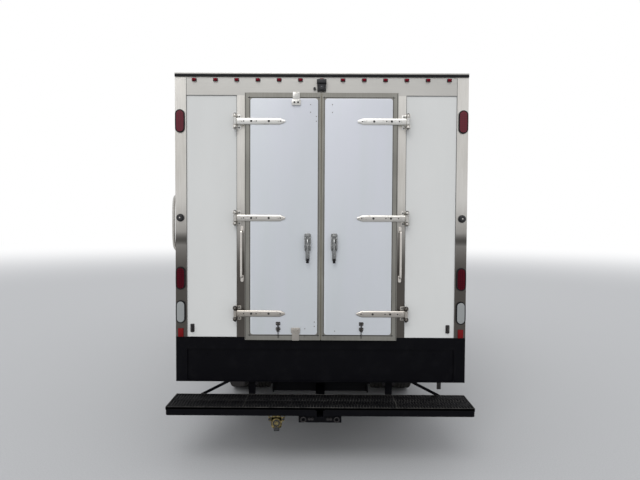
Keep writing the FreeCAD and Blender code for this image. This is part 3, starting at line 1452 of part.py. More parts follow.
# Cab fittings
step_y = ("front_y - cab_step_rear", "front_y - cab_step_front")
riser = block(("cab_step_inner - cab_step_plate", "cab_step_inner"), step_y,
              ("cab_step_height - cab_step_plate", "cab_floor_under"))
tread_plate = block(("cab_step_inner", "cab_step_outer"), step_y,
                    ("cab_step_height - cab_step_plate", "cab_step_height"))
cheek = block(("cab_step_inner", "cab_step_outer"),
              ("front_y - cab_step_front - cab_step_plate", "front_y - cab_step_front"),
              ("cab_step_height", "cab_nose_height"))
node("cab_steps", both(fused([riser, tread_plate, cheek])))

dash = shared(prism("yz", [("cab_inner_y", "dash_low"), ("cab_inner_y", "dash_high"),
                           ("cab_inner_y - dash_depth + dash_knee / 2", "dash_high"),
                           ("cab_inner_y - dash_depth", "dash_high - dash_knee"),
                           ("cab_inner_y - dash_depth + dash_knee", "dash_low")],
                    minus("dash_half_width"), "dash_half_width"), room)
hub_y = "front_y - wheel_setback"
hub_x = minus("wheel_offset")
wheel_ring = turned([(minus("wheel_ring_thickness"), "wheel_ring_radius - wheel_ring_thickness"),
                     (minus("wheel_ring_thickness"), "wheel_ring_radius"),
                     ("0", "wheel_ring_radius + wheel_ring_thickness / 2"),
                     ("wheel_ring_thickness", "wheel_ring_radius"),
                     ("wheel_ring_thickness", "wheel_ring_radius - wheel_ring_thickness")],
                    hub_x, hub_y, "wheel_height")
lean = turn(vec(1, 0, 0), -size("wheel_tilt"))
wheel_ring.Placement = FreeCAD.Placement(wheel_ring.Placement.Base,
                                         lean.multiply(turn(vec(0, 0, 1), 90)))
column = less(strut("column_radius", (hub_x, hub_y, "wheel_height"),
                    (hub_x, hub_y + " + column_run", "cab_floor_under")), floor_slab)
bar = block(("%s - wheel_ring_radius" % hub_x, "%s + wheel_ring_radius" % hub_x),
            (hub_y + " - wheel_ring_thickness / 2", hub_y + " + wheel_ring_thickness / 2"),
            ("wheel_height - wheel_ring_thickness / 2", "wheel_height + wheel_ring_thickness / 2"))
node("dashboard", fused([dash, column, wheel_ring, bar]))


def seat(low_x, width):
    high_x = "%s + %s" % (low_x, width)
    inset = "seat_side_gap"
    base = block(("%s + %s" % (low_x, inset), "%s - %s" % (high_x, inset)),
                 ("seat_rear_y + seat_side_gap", "seat_front_y - seat_side_gap"),
                 ("tunnel_top + tunnel_wall", "seat_base_high"))
    cushion = prism("yz", [("seat_rear_y", "seat_base_high"), ("seat_front_y", "seat_base_high"),
                           ("seat_front_y", "seat_base_high + seat_cushion * cushion_nose_share"),
                           ("seat_front_y - seat_cushion / 3", "seat_base_high + seat_cushion"),
                           ("seat_rear_y", "seat_base_high + seat_cushion")], low_x, high_x)
    rest = prism("yz", [("seat_rear_y", "seat_base_high"),
                        ("seat_rear_y", "seat_base_high + seat_cushion"),
                        ("seat_rear_y - seat_lean", "seat_back_high"),
                        ("seat_rear_y - seat_lean - seat_back_thickness * seat_top_share", "seat_back_high"),
                        ("seat_rear_y - seat_back_thickness", "seat_base_high")], low_x, high_x)
    return fused([base, cushion, rest])


driver_x = minus("wheel_offset + seat_width / 2")
bench_x = "seat_width / 2 - wheel_offset + 3 * seat_side_gap"
node("seats", together([seat(driver_x, "seat_width"), seat(bench_x, "bench_width")]))

mirror_x = ("mirror_reach - mirror_width", "mirror_reach")
mirror_y = ("front_y - mirror_setback - mirror_depth", "front_y - mirror_setback")
head = rounded(prism("xy", [(mirror_x[0], mirror_y[0]), (mirror_x[1], mirror_y[0]),
                            (mirror_x[1], mirror_y[1]), (mirror_x[0], mirror_y[1])],
                     "mirror_low", "mirror_high"), "mirror_edge_radius", along("z"))
post_x = "mirror_reach - mirror_width / 2"
arm_y = "front_y - mirror_setback - mirror_depth / 2"
mirror_post = rod("z", "mirror_arm_radius", (post_x, arm_y, "mirror_arm_low"),
                  "mirror_arm_high - mirror_arm_low")
low_arm = rod("x", "mirror_arm_radius", ("cab_base_half_width", arm_y, "mirror_arm_low"),
              post_x + " - cab_base_half_width")
high_arm = strut("mirror_arm_radius", (post_x, arm_y, "mirror_arm_high"),
                 ("cab_half_width - cab_lean - mirror_arm_radius", arm_y + " - mirror_arm_sweep",
                  "mirror_arm_high"))
mirror = less(fused([head, mirror_post, low_arm, high_arm]), cab_solid)
node("mirrors", both(mirror))

lamp_x = ("headlamp_offset - headlamp_width / 2", "headlamp_offset + headlamp_width / 2")
lamp_z = ("headlamp_centre_height - headlamp_height / 2",
          "headlamp_centre_height + headlamp_height / 2")
headlamp_zone = block(lamp_x, ("cab_face_y - cab_door_front", "cab_face_y"), lamp_z)
signal_zone = block((lamp_x[1] + " + signal_gap", "cab_half_width"),
                    ("cab_face_y - signal_wrap", "cab_face_y"), lamp_z)
lamp_zone = both(together([headlamp_zone, signal_zone]))


def roof_lamp(x):
    """A clearance lamp whose foot follows the slope of the brow."""
    brow_y = "screen_top_y - brow_setback"
    return less(block((x + " - roof_lamp_width / 2", x + " + roof_lamp_width / 2"),
                      (brow_y + " - roof_lamp_length / 2", brow_y + " + roof_lamp_length / 2"),
                      ("brow_height - roof_lamp_length", "brow_height + roof_lamp_rise")), cab_solid)


roof_lamps = [roof_lamp("0"), both(roof_lamp("roof_lamp_inner")), both(roof_lamp("roof_lamp_outer"))]
node("headlamps", together([shared(shell, lamp_zone)] + roof_lamps))

# Grille: a pocket in the front panel, crossed by level slats
grille_x = (minus("grille_half"), "grille_half")
pocket = block(grille_x, ("cab_face_y - grille_depth", "front_y"), ("grille_low", "grille_high"))
slats = []
for number in range(int(size("slat_count"))):
    slat_z = ("grille_low + (grille_high - grille_low) * %d / (slat_count + 1) - slat_height / 2"
              % (number + 1))
    slats.append(block(grille_x, ("cab_face_y - grille_depth", "cab_face_y - slat_setback"),
                       (slat_z, slat_z + " + slat_height")))
grilled = less(less(front_panel, lamp_zone), pocket)
node("cab_front_panel", fused([grilled] + slats + [front_hinge, mirrored(front_hinge)]))

# Front bumper on two brackets under the rails


def bumper_form(inset, front, rear, low, high, radius):
    """The bumper's plan with its two front corners rounded."""
    half = "bumper_half_width - " + inset
    form = prism("xy", [(minus(half), rear), (half, rear), (half, front), (minus(half), front)],
                 low, high)
    line = size(front)
    return rounded(form, radius, lambda one, other: along("z")(one, other) and abs(one.y - line) < 1)


bumper_out = bumper_form("0", "front_y", "front_y - bumper_wrap", "bumper_low", "bumper_high",
                         "bumper_corner_radius")
bumper_in = bumper_form("bumper_wall", "front_y - bumper_thickness",
                        "front_y - bumper_wrap - bumper_thickness", "bumper_low - bumper_wall",
                        "bumper_high + bumper_wall", "bumper_corner_radius - bumper_wall")
bracket = fused([
    block(("rail_offset - rail_flange", "rail_offset"),
          ("front_y - bumper_bracket_reach", "front_y - bumper_thickness"),
          ("bumper_bracket_low", "bumper_bracket_high")),
    block(("rail_offset - rail_flange", "rail_offset"),
          ("front_y - bumper_bracket_reach", "front_y - bumper_bracket_reach + member_width"),
          ("bumper_bracket_low", "rail_under")),
])
node("front_bumper", fused([less(bumper_out, bumper_in), bracket, mirrored(bracket)]))

doc.recompute()
for item in doc.Objects:
    if "Invalid" in item.State or "Error" in item.State:
        raise SystemExit("failed: %s (%s) %s" % (item.Name, item.TypeId, item.State))
os.makedirs("parts", exist_ok=True)
for label, item in NODES.items():
    item.Label = label
    shape = item.Shape
    if shape.isNull() or not shape.isValid() or not shape.Solids:
        raise SystemExit("%s has no sound solid" % label)
    shape.exportStep("parts/%s.step" % label)
print("%d sub-parts" % len(NODES))
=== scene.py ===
import math
import bmesh
import bpy
from mathutils import Matrix, Vector


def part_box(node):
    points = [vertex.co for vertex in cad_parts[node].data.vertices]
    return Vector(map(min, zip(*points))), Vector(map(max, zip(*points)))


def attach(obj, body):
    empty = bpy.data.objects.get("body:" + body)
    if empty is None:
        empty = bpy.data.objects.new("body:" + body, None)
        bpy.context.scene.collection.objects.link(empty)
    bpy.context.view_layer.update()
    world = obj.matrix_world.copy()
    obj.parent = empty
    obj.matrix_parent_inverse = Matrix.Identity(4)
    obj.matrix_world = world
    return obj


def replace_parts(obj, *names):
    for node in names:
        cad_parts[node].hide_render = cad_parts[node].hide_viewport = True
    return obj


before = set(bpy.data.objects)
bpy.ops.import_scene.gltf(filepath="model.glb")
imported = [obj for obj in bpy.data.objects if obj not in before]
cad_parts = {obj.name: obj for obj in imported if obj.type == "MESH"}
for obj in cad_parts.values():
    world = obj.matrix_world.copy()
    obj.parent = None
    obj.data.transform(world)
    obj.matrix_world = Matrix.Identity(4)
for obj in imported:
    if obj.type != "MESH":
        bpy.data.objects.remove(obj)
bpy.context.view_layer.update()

# The camera stands four metres behind the doors, a little under two metres up.
# Its lens, height and small tilts are those of the photograph, 640 by 480.
rear_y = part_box("rear_posts")[0].y
camera_back = 4.026
camera_height = 1.961
camera_side = 0.007
lens = 481 / 640 * 36
pitch, yaw, roll = (math.radians(turn) for turn in (1.81, 0.21, 0.28))
ahead = Vector((-math.sin(yaw) * math.cos(pitch), math.cos(yaw) * math.cos(pitch), -math.sin(pitch)))
level = Vector((math.cos(yaw), math.sin(yaw), 0))
upright = level.cross(ahead)
across = math.cos(roll) * level + math.sin(roll) * upright
above = math.cos(roll) * upright - math.sin(roll) * level
camera = bpy.data.objects.new("camera", bpy.data.cameras.new("camera"))
camera.data.sensor_width = 36
camera.data.lens = lens
camera.data.clip_end = 400
camera.matrix_world = Matrix.Translation((camera_side, rear_y - camera_back, camera_height)) @ Matrix(
    (across, above, -ahead)).transposed().to_4x4()
bpy.context.scene.collection.objects.link(camera)
bpy.context.scene.camera = camera
bpy.context.scene.view_settings.view_transform = "Standard"

# Floor: a wide sheet of pale sealed concrete, with a faint grit and a soft
# fade to white far off, so that it ends in the pale backdrop without an edge.
def linear(code):
    """A six-figure sRGB colour as linear red, green, blue and alpha."""
    parts = [int(code[place:place + 2], 16) / 255 for place in (1, 3, 5)]
    return [part / 12.92 if part <= 0.04045 else ((part + 0.055) / 1.055) ** 2.4 for part in parts] + [1]


def add(tree, kind, inputs=(), **settings):
    """Add one node, set its properties, then feed or link its inputs."""
    item = tree.nodes.new(kind)
    for word, value in settings.items():
        setattr(item, word, value)
    for socket, value in dict(inputs).items():
        if isinstance(value, bpy.types.NodeSocket):
            tree.links.new(value, item.inputs[socket])
        else:
            item.inputs[socket].default_value = value
    return item


class Finish:
    """A material with one Principled shader, and short words for its nodes."""

    def __init__(self, name, colour, **inputs):
        self.material = bpy.data.materials.new(name)
        self.material.use_nodes = True
        self.tree = self.material.node_tree
        self.tree.nodes.clear()
        words = {word.replace("_", " ").title().replace("Ior", "IOR"): value for word,
                 value in inputs.items()}
        words["Base Color"] = linear(colour)
        self.shader = add(self.tree, "ShaderNodeBsdfPrincipled", words)
        add(self.tree, "ShaderNodeOutputMaterial", {"Surface": self.shader.outputs[0]})
        self.place = add(self.tree, "ShaderNodeTexCoord").outputs["Object"]
        self.tone = None

    def axis(self, letter):
        """The object's own coordinate along one axis."""
        return add(self.tree, "ShaderNodeSeparateXYZ", {0: self.place}).outputs[letter]

    def noise(self, scale, detail, rough=0.5, stretch=None):
        """A cloudy noise, drawn out along the axes whose stretch is small."""
        place = self.place
        if stretch:
            place = add(self.tree, "ShaderNodeMapping", {"Vector": place, "Scale": stretch}).outputs[0]
        inputs = {"Vector": place, "Scale": scale, "Detail": detail, "Roughness": rough}
        return add(self.tree, "ShaderNodeTexNoise", inputs).outputs[0]

    def cells(self, scale, random=0, feature="F1"):
        """The distance to the middle of the nearest cell."""
        inputs = {"Vector": self.place, "Scale": scale, "Randomness": random}
        return add(self.tree, "ShaderNodeTexVoronoi", inputs, feature=feature).outputs["Distance"]

    def waves(self, scale, way, bend=0):
        """Parallel bands across one direction."""
        inputs = {"Vector": self.place, "Scale": scale, "Distortion": bend}
        return add(self.tree, "ShaderNodeTexWave", inputs, bands_direction=way).outputs[0]

    def calc(self, operation, *values):
        """One step of arithmetic."""
        return add(self.tree, "ShaderNodeMath", dict(enumerate(values)), operation=operation).outputs[0]

    def spread(self, value, low, high, start=0, end=1, smooth=False):
        """A value's range from low to high carried over to start to end."""
        inputs = {"Value": value, "From Min": low, "From Max": high, "To Min": start, "To Max": end}
        return add(self.tree, "ShaderNodeMapRange", inputs,
                   interpolation_type="SMOOTHSTEP" if smooth else "LINEAR").outputs[0]

    def mix(self, share, first, second):
        """Two tones, each a code or a node's output, mixed by a share."""
        first, second = (linear(tone) if isinstance(tone, str) else tone for tone in (first, second))
        return add(self.tree, "ShaderNodeMix", {0: share, 6: first, 7: second}, data_type="RGBA").outputs[2]

    def set(self, word, value):
        """Feed one input of the shader."""
        self.tree.links.new(value, self.shader.inputs[word])

    def paint(self, share, first, second):
        """Mix two tones and lay them on as the finish's colour."""
        self.tone = self.mix(share, first, second)
        self.set("Base Color", self.tone)

    def bump(self, height, strength, distance):
        """Raise a fine relief."""
        inputs = {"Height": height, "Strength": strength, "Distance": distance}
        self.set("Normal", add(self.tree, "ShaderNodeBump", inputs).outputs[0])


fade_near, fade_far = 11, 46
floor_radius = 60
concrete = Finish("sealed_concrete", "#B6B7B8", roughness=0.8)
tree = concrete.tree
far = add(tree, "ShaderNodeVectorMath", {0: concrete.place}, operation="LENGTH").outputs["Value"]
fade = concrete.spread(far, fade_near, fade_far, smooth=True)
concrete.paint(concrete.noise(90, 4), "#A9AAAB", "#C0C1C2")
concrete.paint(fade, concrete.tone, "#FFFFFF")
glow = add(tree, "ShaderNodeEmission", {"Color": linear("#FFFFFF"), "Strength": 1}).outputs[0]
white = concrete.calc("MULTIPLY", add(tree, "ShaderNodeLightPath").outputs["Is Camera Ray"], fade)
blend = add(tree, "ShaderNodeMixShader", {0: white, 1: concrete.shader.outputs[0], 2: glow}).outputs[0]
tree.links.new(blend, tree.nodes["Material Output"].inputs["Surface"])
mesh = bmesh.new()
bmesh.ops.create_circle(mesh, cap_ends=True, segments=64, radius=floor_radius)
floor = bpy.data.objects.new("floor", bpy.data.meshes.new("floor"))
mesh.to_mesh(floor.data)
mesh.free()
floor.data.materials.append(concrete.material)
bpy.context.scene.collection.objects.link(floor)

# Light: an even pale sky all round and one broad soft lamp high behind the
# camera's left shoulder, at the plain level where a colour renders as written.
world = bpy.data.worlds.new("sky")
world.use_nodes = True
bpy.context.scene.world = world
sky = world.node_tree
sky.nodes.clear()
way = add(sky, "ShaderNodeTexCoord").outputs["Generated"]
height = add(sky, "ShaderNodeSeparateXYZ", {0: way}).outputs["Z"]
dome = add(sky, "ShaderNodeMapRange", {"Value": height, "From Min": -0.1, "From Max": 0.9,
                                       "To Min": 0.62, "To Max": 0.92})
soft = add(sky, "ShaderNodeBackground", {"Color": linear("#FBFCFF"), "Strength": dome.outputs[0]})
plain = add(sky, "ShaderNodeBackground", {"Color": linear("#FFFFFF"), "Strength": 1})
rays = add(sky, "ShaderNodeLightPath").outputs
shown = add(sky, "ShaderNodeMath", {0: rays["Is Camera Ray"], 1: rays["Is Transmission Ray"]},
            operation="MAXIMUM")
both = add(sky, "ShaderNodeMixShader", {0: shown.outputs[0], 1: soft.outputs[0], 2: plain.outputs[0]})
add(sky, "ShaderNodeOutputWorld", {"Surface": both.outputs[0]})
lamp = bpy.data.objects.new("lamp", bpy.data.lights.new("lamp", "SUN"))
lamp.data.energy = 1.15
lamp.data.angle = math.radians(40)
lamp.rotation_euler = (math.radians(42), 0, math.radians(-14))
bpy.context.scene.collection.objects.link(lamp)

# Rear posts, header and hinge posts: folded stainless sheet with a vertical
# brushed grain. Lower down it is painted darker, a painted reflection of the
# dark ground, and the outer posts carry a painted dark reflection band.
def dress(label, finish):
    """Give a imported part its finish."""
    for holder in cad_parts[label].material_slots:
        holder.material = finish.material


def grained(name, colour, low, scale, along="z", **inputs):
    """Brushed metal: fine streaks along one axis in tone, gloss and relief."""
    finish = Finish(name, colour, metallic=1, **inputs)
    drawn = [0.02 if letter == along else 1 for letter in "xyz"]
    streaks = finish.noise(scale, 5, 0.65, drawn)
    finish.paint(finish.spread(finish.calc("ADD", streaks, finish.noise(2.2, 2)), 0.75, 1.25), low, colour)
    rough = inputs["roughness"]
    finish.set("Roughness", finish.spread(streaks, 0.3, 0.7, rough - 0.07, rough + 0.1))
    finish.bump(streaks, 0.06, 0.002)
    return finish


ground_reflection_clear, ground_reflection_full = 2.25, 1.55
reflection_band_height, reflection_band_reach = 1.83, 0.14
stainless = grained("brushed_stainless_sheet", "#E2DFD9", "#D2CEC6", 260, roughness=0.36)
height = stainless.axis("Z")
# Painted reflection: the stainless darkens downwards from 2.25 m as if it mirrored dark ground, and a
# darker band near 1.83 m crosses the outer posts.
grime_and_reflection = stainless.spread(height, ground_reflection_clear, ground_reflection_full, 0, 0.94, True)
apart = stainless.calc("ABSOLUTE", stainless.calc("SUBTRACT", height, reflection_band_height))
outer_posts = stainless.calc("GREATER_THAN", stainless.calc("ABSOLUTE", stainless.axis("X")), 1.0)
band = stainless.calc("MULTIPLY", stainless.spread(apart, 0, reflection_band_reach, 0.9, 0, True), outer_posts)
stainless.paint(stainless.calc("MAXIMUM", grime_and_reflection, band), stainless.tone,
                stainless.mix(band, "#4C4742", "#363330"))
dress("rear_posts", stainless)
header_sheet = grained("satin_stainless_header", "#C3C1BC", "#BAB8B3", 160, "x", roughness=0.45)
dress("rear_header", header_sheet)

# The header's drip cap is a folded strip along the roof's rear edge, and a
# black rubber seal under it keeps water off the lamps and the doors; its black also stands in as painted
# shade for the shadow gap beneath the cap.
cap_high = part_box("rear_header")[1].z
cap_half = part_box("rear_posts")[1].x
cap_height = 0.012
cap_proud = 0.014
cap_back = 0.06
seal_height = 0.019


def bevel(mesh, geometry, width, steps, affect="EDGES"):
    """Round some edges or corners of a mesh."""
    bmesh.ops.bevel(mesh, geom=geometry, offset=width, offset_type="OFFSET", segments=steps, profile=0.5,
                    affect=affect, material=-1)


def box(mesh, corner, opposite, soft=0.0, steps=2):
    """A block between two opposite corners, with its edges rounded."""
    low, high = (Vector([pick(pair) for pair in zip(corner, opposite)]) for pick in (min, max))
    place = Matrix.Translation((low + high) / 2) @ Matrix.Diagonal((*(high - low), 1))
    made = bmesh.ops.create_cube(mesh, size=1, matrix=place)["verts"]
    if soft:
        bevel(mesh, list({edge for corner in made for edge in corner.link_edges}), soft, steps)


def piece(name, mesh, finish, body, sharp=32):
    """Finish a mesh as a piece that rides on a body."""
    bmesh.ops.recalc_face_normals(mesh, faces=mesh.faces)
    item = bpy.data.objects.new(name, bpy.data.meshes.new(name))
    mesh.to_mesh(item.data)
    mesh.free()
    item.data.shade_smooth()
    item.data.set_sharp_from_angle(angle=math.radians(sharp))
    item.data.materials.append(finish.material)
    bpy.context.scene.collection.objects.link(item)
    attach(item, body)
    return item


def clouded(name, colour, cloud, tones, skin=None, reach=None, **inputs):
    """A finish whose two tones follow a cloudy noise, over a fine relief."""
    finish = Finish(name, colour, **inputs)
    share = finish.noise(*cloud)
    if reach:
        share = finish.spread(share, *reach)
    finish.paint(share, *tones)
    if skin:
        finish.bump(finish.noise(*skin[:2]), *skin[2:])
    return finish


mesh = bmesh.new()
box(mesh, (-cap_half, rear_y - cap_proud, cap_high - cap_height), (cap_half, rear_y, cap_high), 0.003)
box(mesh, (-cap_half, rear_y, cap_high - 0.003), (cap_half, rear_y + cap_back, cap_high - 0.0005), 0.0005,
    1)
piece("roof_drip_cap", mesh, header_sheet, "chassis")
seal_rubber = clouded("epdm_seal_rubber", "#17171A", (60, 5), ("#09090B", "#1E1E1F"), roughness=0.62,
                      specular_ior_level=0.2)
mesh = bmesh.new()
box(mesh, (-cap_half, rear_y - cap_proud * 0.8, cap_high - cap_height - seal_height),
    (cap_half, rear_y, cap_high - cap_height), 0.002)
piece("roof_drip_seal", mesh, seal_rubber, "chassis")

# Fixed side panels: fibreglass with a smooth white gel coat, bedded in grey
# sealant against the posts and the header, a hair of which shows as a line.
gelcoat = Finish("white_gelcoat", "#CFD0CE", roughness=0.32, coat_weight=0.25, coat_roughness=0.15)
gelcoat.paint(gelcoat.noise(3, 4, stretch=(1, 1, 0.25)), "#CFD0CE", "#DBDCDA")
gelcoat.bump(gelcoat.noise(140, 2), 0.08, 0.001)
dress("rear_side_panels", gelcoat)
panel_low, panel_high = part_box("rear_side_panels")
header_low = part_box("rear_header")[0].z
post_x = panel_high.x
panel_y = panel_low.y
bead = 0.003
post_outer = 0.704
sealant = clouded("grey_sealant", "#5A5A58", (35, 5), ("#3E3E3D", "#787876"), roughness=0.7)
mesh = bmesh.new()
for side in (-1, 1):
    for low_x, high_x, low_z, high_z in ((post_x - 0.002, post_x + 0.002, panel_low.z, cap_high - 0.04),
                                         (post_outer, post_x, header_low - 0.002, header_low + 0.002),
                                         (post_outer - 0.001, post_outer + 0.002, panel_low.z, header_low)):
        box(mesh, (side * low_x, rear_y - bead / 2, low_z), (side * high_x, panel_y + bead, high_z), 0.0006,
            1)
piece("panel_sealant", mesh, sealant, "chassis")

# Marker lamps: thirteen small red lenses in a row, each a moulded cap on a
# black base.
lens_red = Finish("red_polycarbonate_lens", "#7A1620", roughness=0.35, specular_ior_level=0.1)
lens_red.paint(lens_red.spread(lens_red.cells(62), 0.1, 0.6), "#9A0424", "#3A020F")
# Painted sheen: the upper tail lamp lenses are painted a paler pink.
upper_lamp_sheen = lens_red.calc("COMPARE", lens_red.axis("Z"), 2.84, 0.2)
lens_red.paint(lens_red.calc("MULTIPLY", upper_lamp_sheen, 0.17), lens_red.tone, "#B26F78")
lens_red.bump(lens_red.waves(36, "Z"), 0.2, 0.001)
black_abs = clouded("black_abs_moulding", "#1B1B1D", (9, 3), ("#131315", "#242427"), (900, 2, 0.15, 0.0006),
                    roughness=0.5)
marker_count = 13
marker_span = 2.114
marker_z = cap_high - 0.056
marker_half = 0.020
marker_rise = 0.0115
lenses = bmesh.new()
bases = bmesh.new()
for number in range(marker_count):
    middle = (number / (marker_count - 1) - 0.5) * marker_span
    box(lenses, (middle - marker_half + 0.005, rear_y - 0.018, marker_z - marker_rise),
        (middle + marker_half - 0.005, rear_y - 0.004, marker_z + marker_rise), 0.0035)
    box(bases, (middle - marker_half, rear_y - 0.006, marker_z - marker_rise - 0.001),
        (middle + marker_half, rear_y, marker_z + marker_rise + 0.001), 0.002)
piece("marker_lamp_lenses", lenses, lens_red, "chassis")
piece("marker_lamp_bases", bases, black_abs, "chassis")

# Tail and reversing lamps: sealed ovals set in black rubber grommets, the
# lens domed and fluted, and a small red reflector under each stack.
lamp_x = 1.177
oval_half = 0.0405
oval_rise = 0.0965
lens_half = 0.031
red_high, red_low, clear_z = 2.818, 1.508, 1.224
reflector_low, reflector_high = 1.0125, 1.0845
reflector_half = 0.023


def stadium(mesh, x, z, half, rise, front, back, dome=0.0):
    """An upright oval disc: two round ends joined, with its face domed."""
    upright_disc = Matrix.Translation((x, back, z)) @ Matrix.Rotation(math.pi / 2, 4, "X")
    corners = bmesh.ops.create_circle(mesh, cap_ends=True, segments=32, radius=half,
                                      matrix=upright_disc)["verts"]
    for corner in corners:
        corner.co.z += math.copysign(rise - half, corner.co.z - z) if abs(corner.co.z - z) > 1e-6 else 0
    face = next(iter(set.intersection(*[set(corner.link_faces) for corner in corners[:3]])))
    raised = bmesh.ops.extrude_discrete_faces(mesh, faces=[face])["faces"]
    bmesh.ops.translate(mesh, verts=raised[0].verts, vec=(0, front - back, 0))
    if dome:
        for share in (0.3, 0.35):
            bmesh.ops.inset_individual(mesh, faces=raised, thickness=half * share, depth=0,
                                       use_even_offset=True)
            bmesh.ops.translate(mesh, verts=raised[0].verts, vec=(0, -dome, 0))
            dome *= 0.6
    return raised


red_ovals = bmesh.new()
grommets = bmesh.new()
clear_ovals = bmesh.new()
reflectors = bmesh.new()
for side in (-1, 1):
    for centre, glass in ((red_high, red_ovals), (red_low, red_ovals), (clear_z, clear_ovals)):
        stadium(grommets, side * lamp_x, centre, oval_half, oval_rise, rear_y - 0.009, rear_y, 0.001)
        stadium(glass, side * lamp_x, centre, lens_half, oval_rise - 0.0095, rear_y - 0.0105, rear_y,
                0.0012)
    box(reflectors, (side * lamp_x - reflector_half, rear_y - 0.007, reflector_low),
        (side * lamp_x + reflector_half, rear_y, reflector_high), 0.003)
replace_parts(piece("tail_lamp_lenses", red_ovals, lens_red, "chassis"), "red_lamps")
piece("lamp_grommets", grommets, seal_rubber, "chassis")
lens_clear = Finish("clear_polycarbonate_lens", "#989B99", roughness=0.3, coat_weight=0.2,
                    coat_roughness=0.05)
flutes = lens_clear.waves(42, "X")
lens_clear.paint(flutes, "#7D8082", "#A0A3A1")
lens_clear.bump(flutes, 0.25, 0.001)
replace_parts(piece("reversing_lamp_lenses", clear_ovals, lens_clear, "chassis"),
            "backup_lamps")
reflex = Finish("red_reflex_prisms", "#8E1418", roughness=0.35, specular_ior_level=0.2)
reflex.paint(reflex.cells(320), "#840A0E", "#3E0406")
piece("rear_reflectors", reflectors, reflex, "chassis")

# Rear doors: mill aluminium channel round an insulated core, faced outside
# with pre-painted sheet whose corners are rounded, and sealed by a gasket.
extrusion = grained("mill_aluminium_extrusion", "#9B9992", "#86847D", 320, roughness=0.42)
dress("cargo_door_right", extrusion)
dress("cargo_door_left", extrusion)
door_sheet = Finish("prepainted_door_sheet", "#CFD2D7", roughness=0.36, coat_weight=0.2, coat_roughness=0.2)
# Painted reflection: the sheet is painted lighter and bluer towards the top, as if it mirrored the sky.
rise = door_sheet.spread(door_sheet.axis("Z"), 1.1, 3.0, -0.12, 0.12)
rolled_bands = door_sheet.noise(7, 5, stretch=(1, 1, 0.12))
door_sheet.paint(door_sheet.calc("ADD", rolled_bands, rise), "#CBD1D2", "#D3D4DD")
door_sheet.bump(door_sheet.noise(160, 2), 0.08, 0.001)
door_low, door_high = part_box("cargo_door_right")
face_y = door_low.y
sheet_inner = 0.029
sheet_outer = door_high.x - 0.047
sheet_end = 0.048
sheet_corner = 0.022
def slab(mesh, low, high, corner, axis, soft=0.0, steps=5):
    """A plate with four corners rounded along one axis and its rims softened."""
    made = bmesh.new()
    box(made, low, high)
    along = [edge for edge in made.edges
             if abs((edge.verts[1].co - edge.verts[0].co).normalized()[axis]) > 0.99]
    bevel(made, along, corner, steps)
    if soft:
        bevel(made, [edge for edge in made.edges if edge.calc_face_angle(0) > math.radians(60)], soft, 2)
    pour(mesh, made)


def pour(mesh, made):
    """Move a finished small mesh into a larger one."""
    data = bpy.data.meshes.new("made")
    made.to_mesh(data)
    made.free()
    mesh.from_mesh(data)
    bpy.data.meshes.remove(data)


def rod(mesh, start, end, radius, sides=16, tip=None):
    """A round bar between two points, tapering to its tip radius if given."""
    start, end = Vector(start), Vector(end)
    lean = (end - start).to_track_quat("Z", "Y").to_matrix().to_4x4()
    place = Matrix.Translation((start + end) / 2) @ lean
    bmesh.ops.create_cone(mesh, cap_ends=True, segments=sides, radius1=radius,
                          radius2=radius if tip is None else tip, depth=(end - start).length, matrix=place)


def screw(mesh, point, way, across=0.012, tall=0.006, sides=6):
    """A washer and a hexagon head, or a domed rivet when it has eight sides."""
    point, way = Vector(point), Vector(way)
    if sides == 6:
        rod(mesh, point, point + way * tall * 0.3, across * 0.72, 12)
        rod(mesh, point + way * tall * 0.3, point + way * tall, across / 2, 6, across * 0.44)
    else:
        rod(mesh, point, point + way * tall, across / 2, sides, across * 0.28)


def handed(mesh, sign):
    """Turn a right-hand mesh into the left-hand one when the sign is minus."""
    if sign < 0:
        bmesh.ops.scale(mesh, vec=(-1, 1, 1), verts=mesh.verts)
    return mesh


SIDES = (("right", 1), ("left", -1))
edge_rubber = clouded("weathered_edge_rubber", "#7F7A6C", (7, 7), ("#6E6A5D", "#979282"), roughness=0.75)
RIVET_SPOTS = {"right": ((0.090, 2.949), (0.090, 2.886), (0.118, 1.075), (0.118, 1.020)),
               "left": ((0.090, 2.949), (0.090, 2.886), (0.042, 2.852), (0.042, 2.813), (0.052, 1.150),
                        (0.052, 1.114), (0.131, 1.094), (0.131, 1.026))}
for side, sign in SIDES:
    mesh = bmesh.new()
    slab(mesh, (sheet_inner, face_y - 0.0012, door_low.z + sheet_end),
         (sheet_outer, face_y + 0.001, door_high.z - sheet_end), sheet_corner, 1, 0.0006)
    piece("door_sheet_" + side, handed(mesh, sign), door_sheet, "cargo_door_" + side)
    mesh = bmesh.new()
    for low_x, high_x, low_z, high_z in (
            (sheet_outer + 0.004, sheet_outer + 0.0075, door_low.z + 0.03, door_high.z - 0.03),
            (door_high.x - 0.009, door_high.x - 0.006, door_low.z + 0.004, door_high.z - 0.004),
            (sheet_inner - 0.008, sheet_inner - 0.005, door_low.z + 0.03, door_high.z - 0.03),
            (0.012, sheet_outer + 0.02, door_high.z - sheet_end + 0.005, door_high.z - sheet_end + 0.010),
            (0.012, sheet_outer + 0.02, door_low.z + sheet_end - 0.010, door_low.z + sheet_end - 0.005)):
        box(mesh, (low_x, face_y + 0.0028, low_z), (high_x, face_y + 0.0065, high_z), 0.0008, 1)
    piece("door_channel_lips_" + side, handed(mesh, sign), seal_rubber, "cargo_door_" + side)
    mesh = bmesh.new()
    for x, z in RIVET_SPOTS[side]:
        screw(mesh, (x, face_y - 0.0012, z), (0, -1, 0), 0.009, 0.003, 8)
    piece("door_rivets_" + side, handed(mesh, sign), extrusion, "cargo_door_" + side)
    mesh = bmesh.new()
    box(mesh, (0.0010, face_y + 0.0015, door_low.z + 0.004), (0.0058, face_y + 0.030, door_high.z - 0.004),
        0.0012)
    piece("door_edge_seal_" + side, handed(mesh, sign), edge_rubber, "cargo_door_" + side)

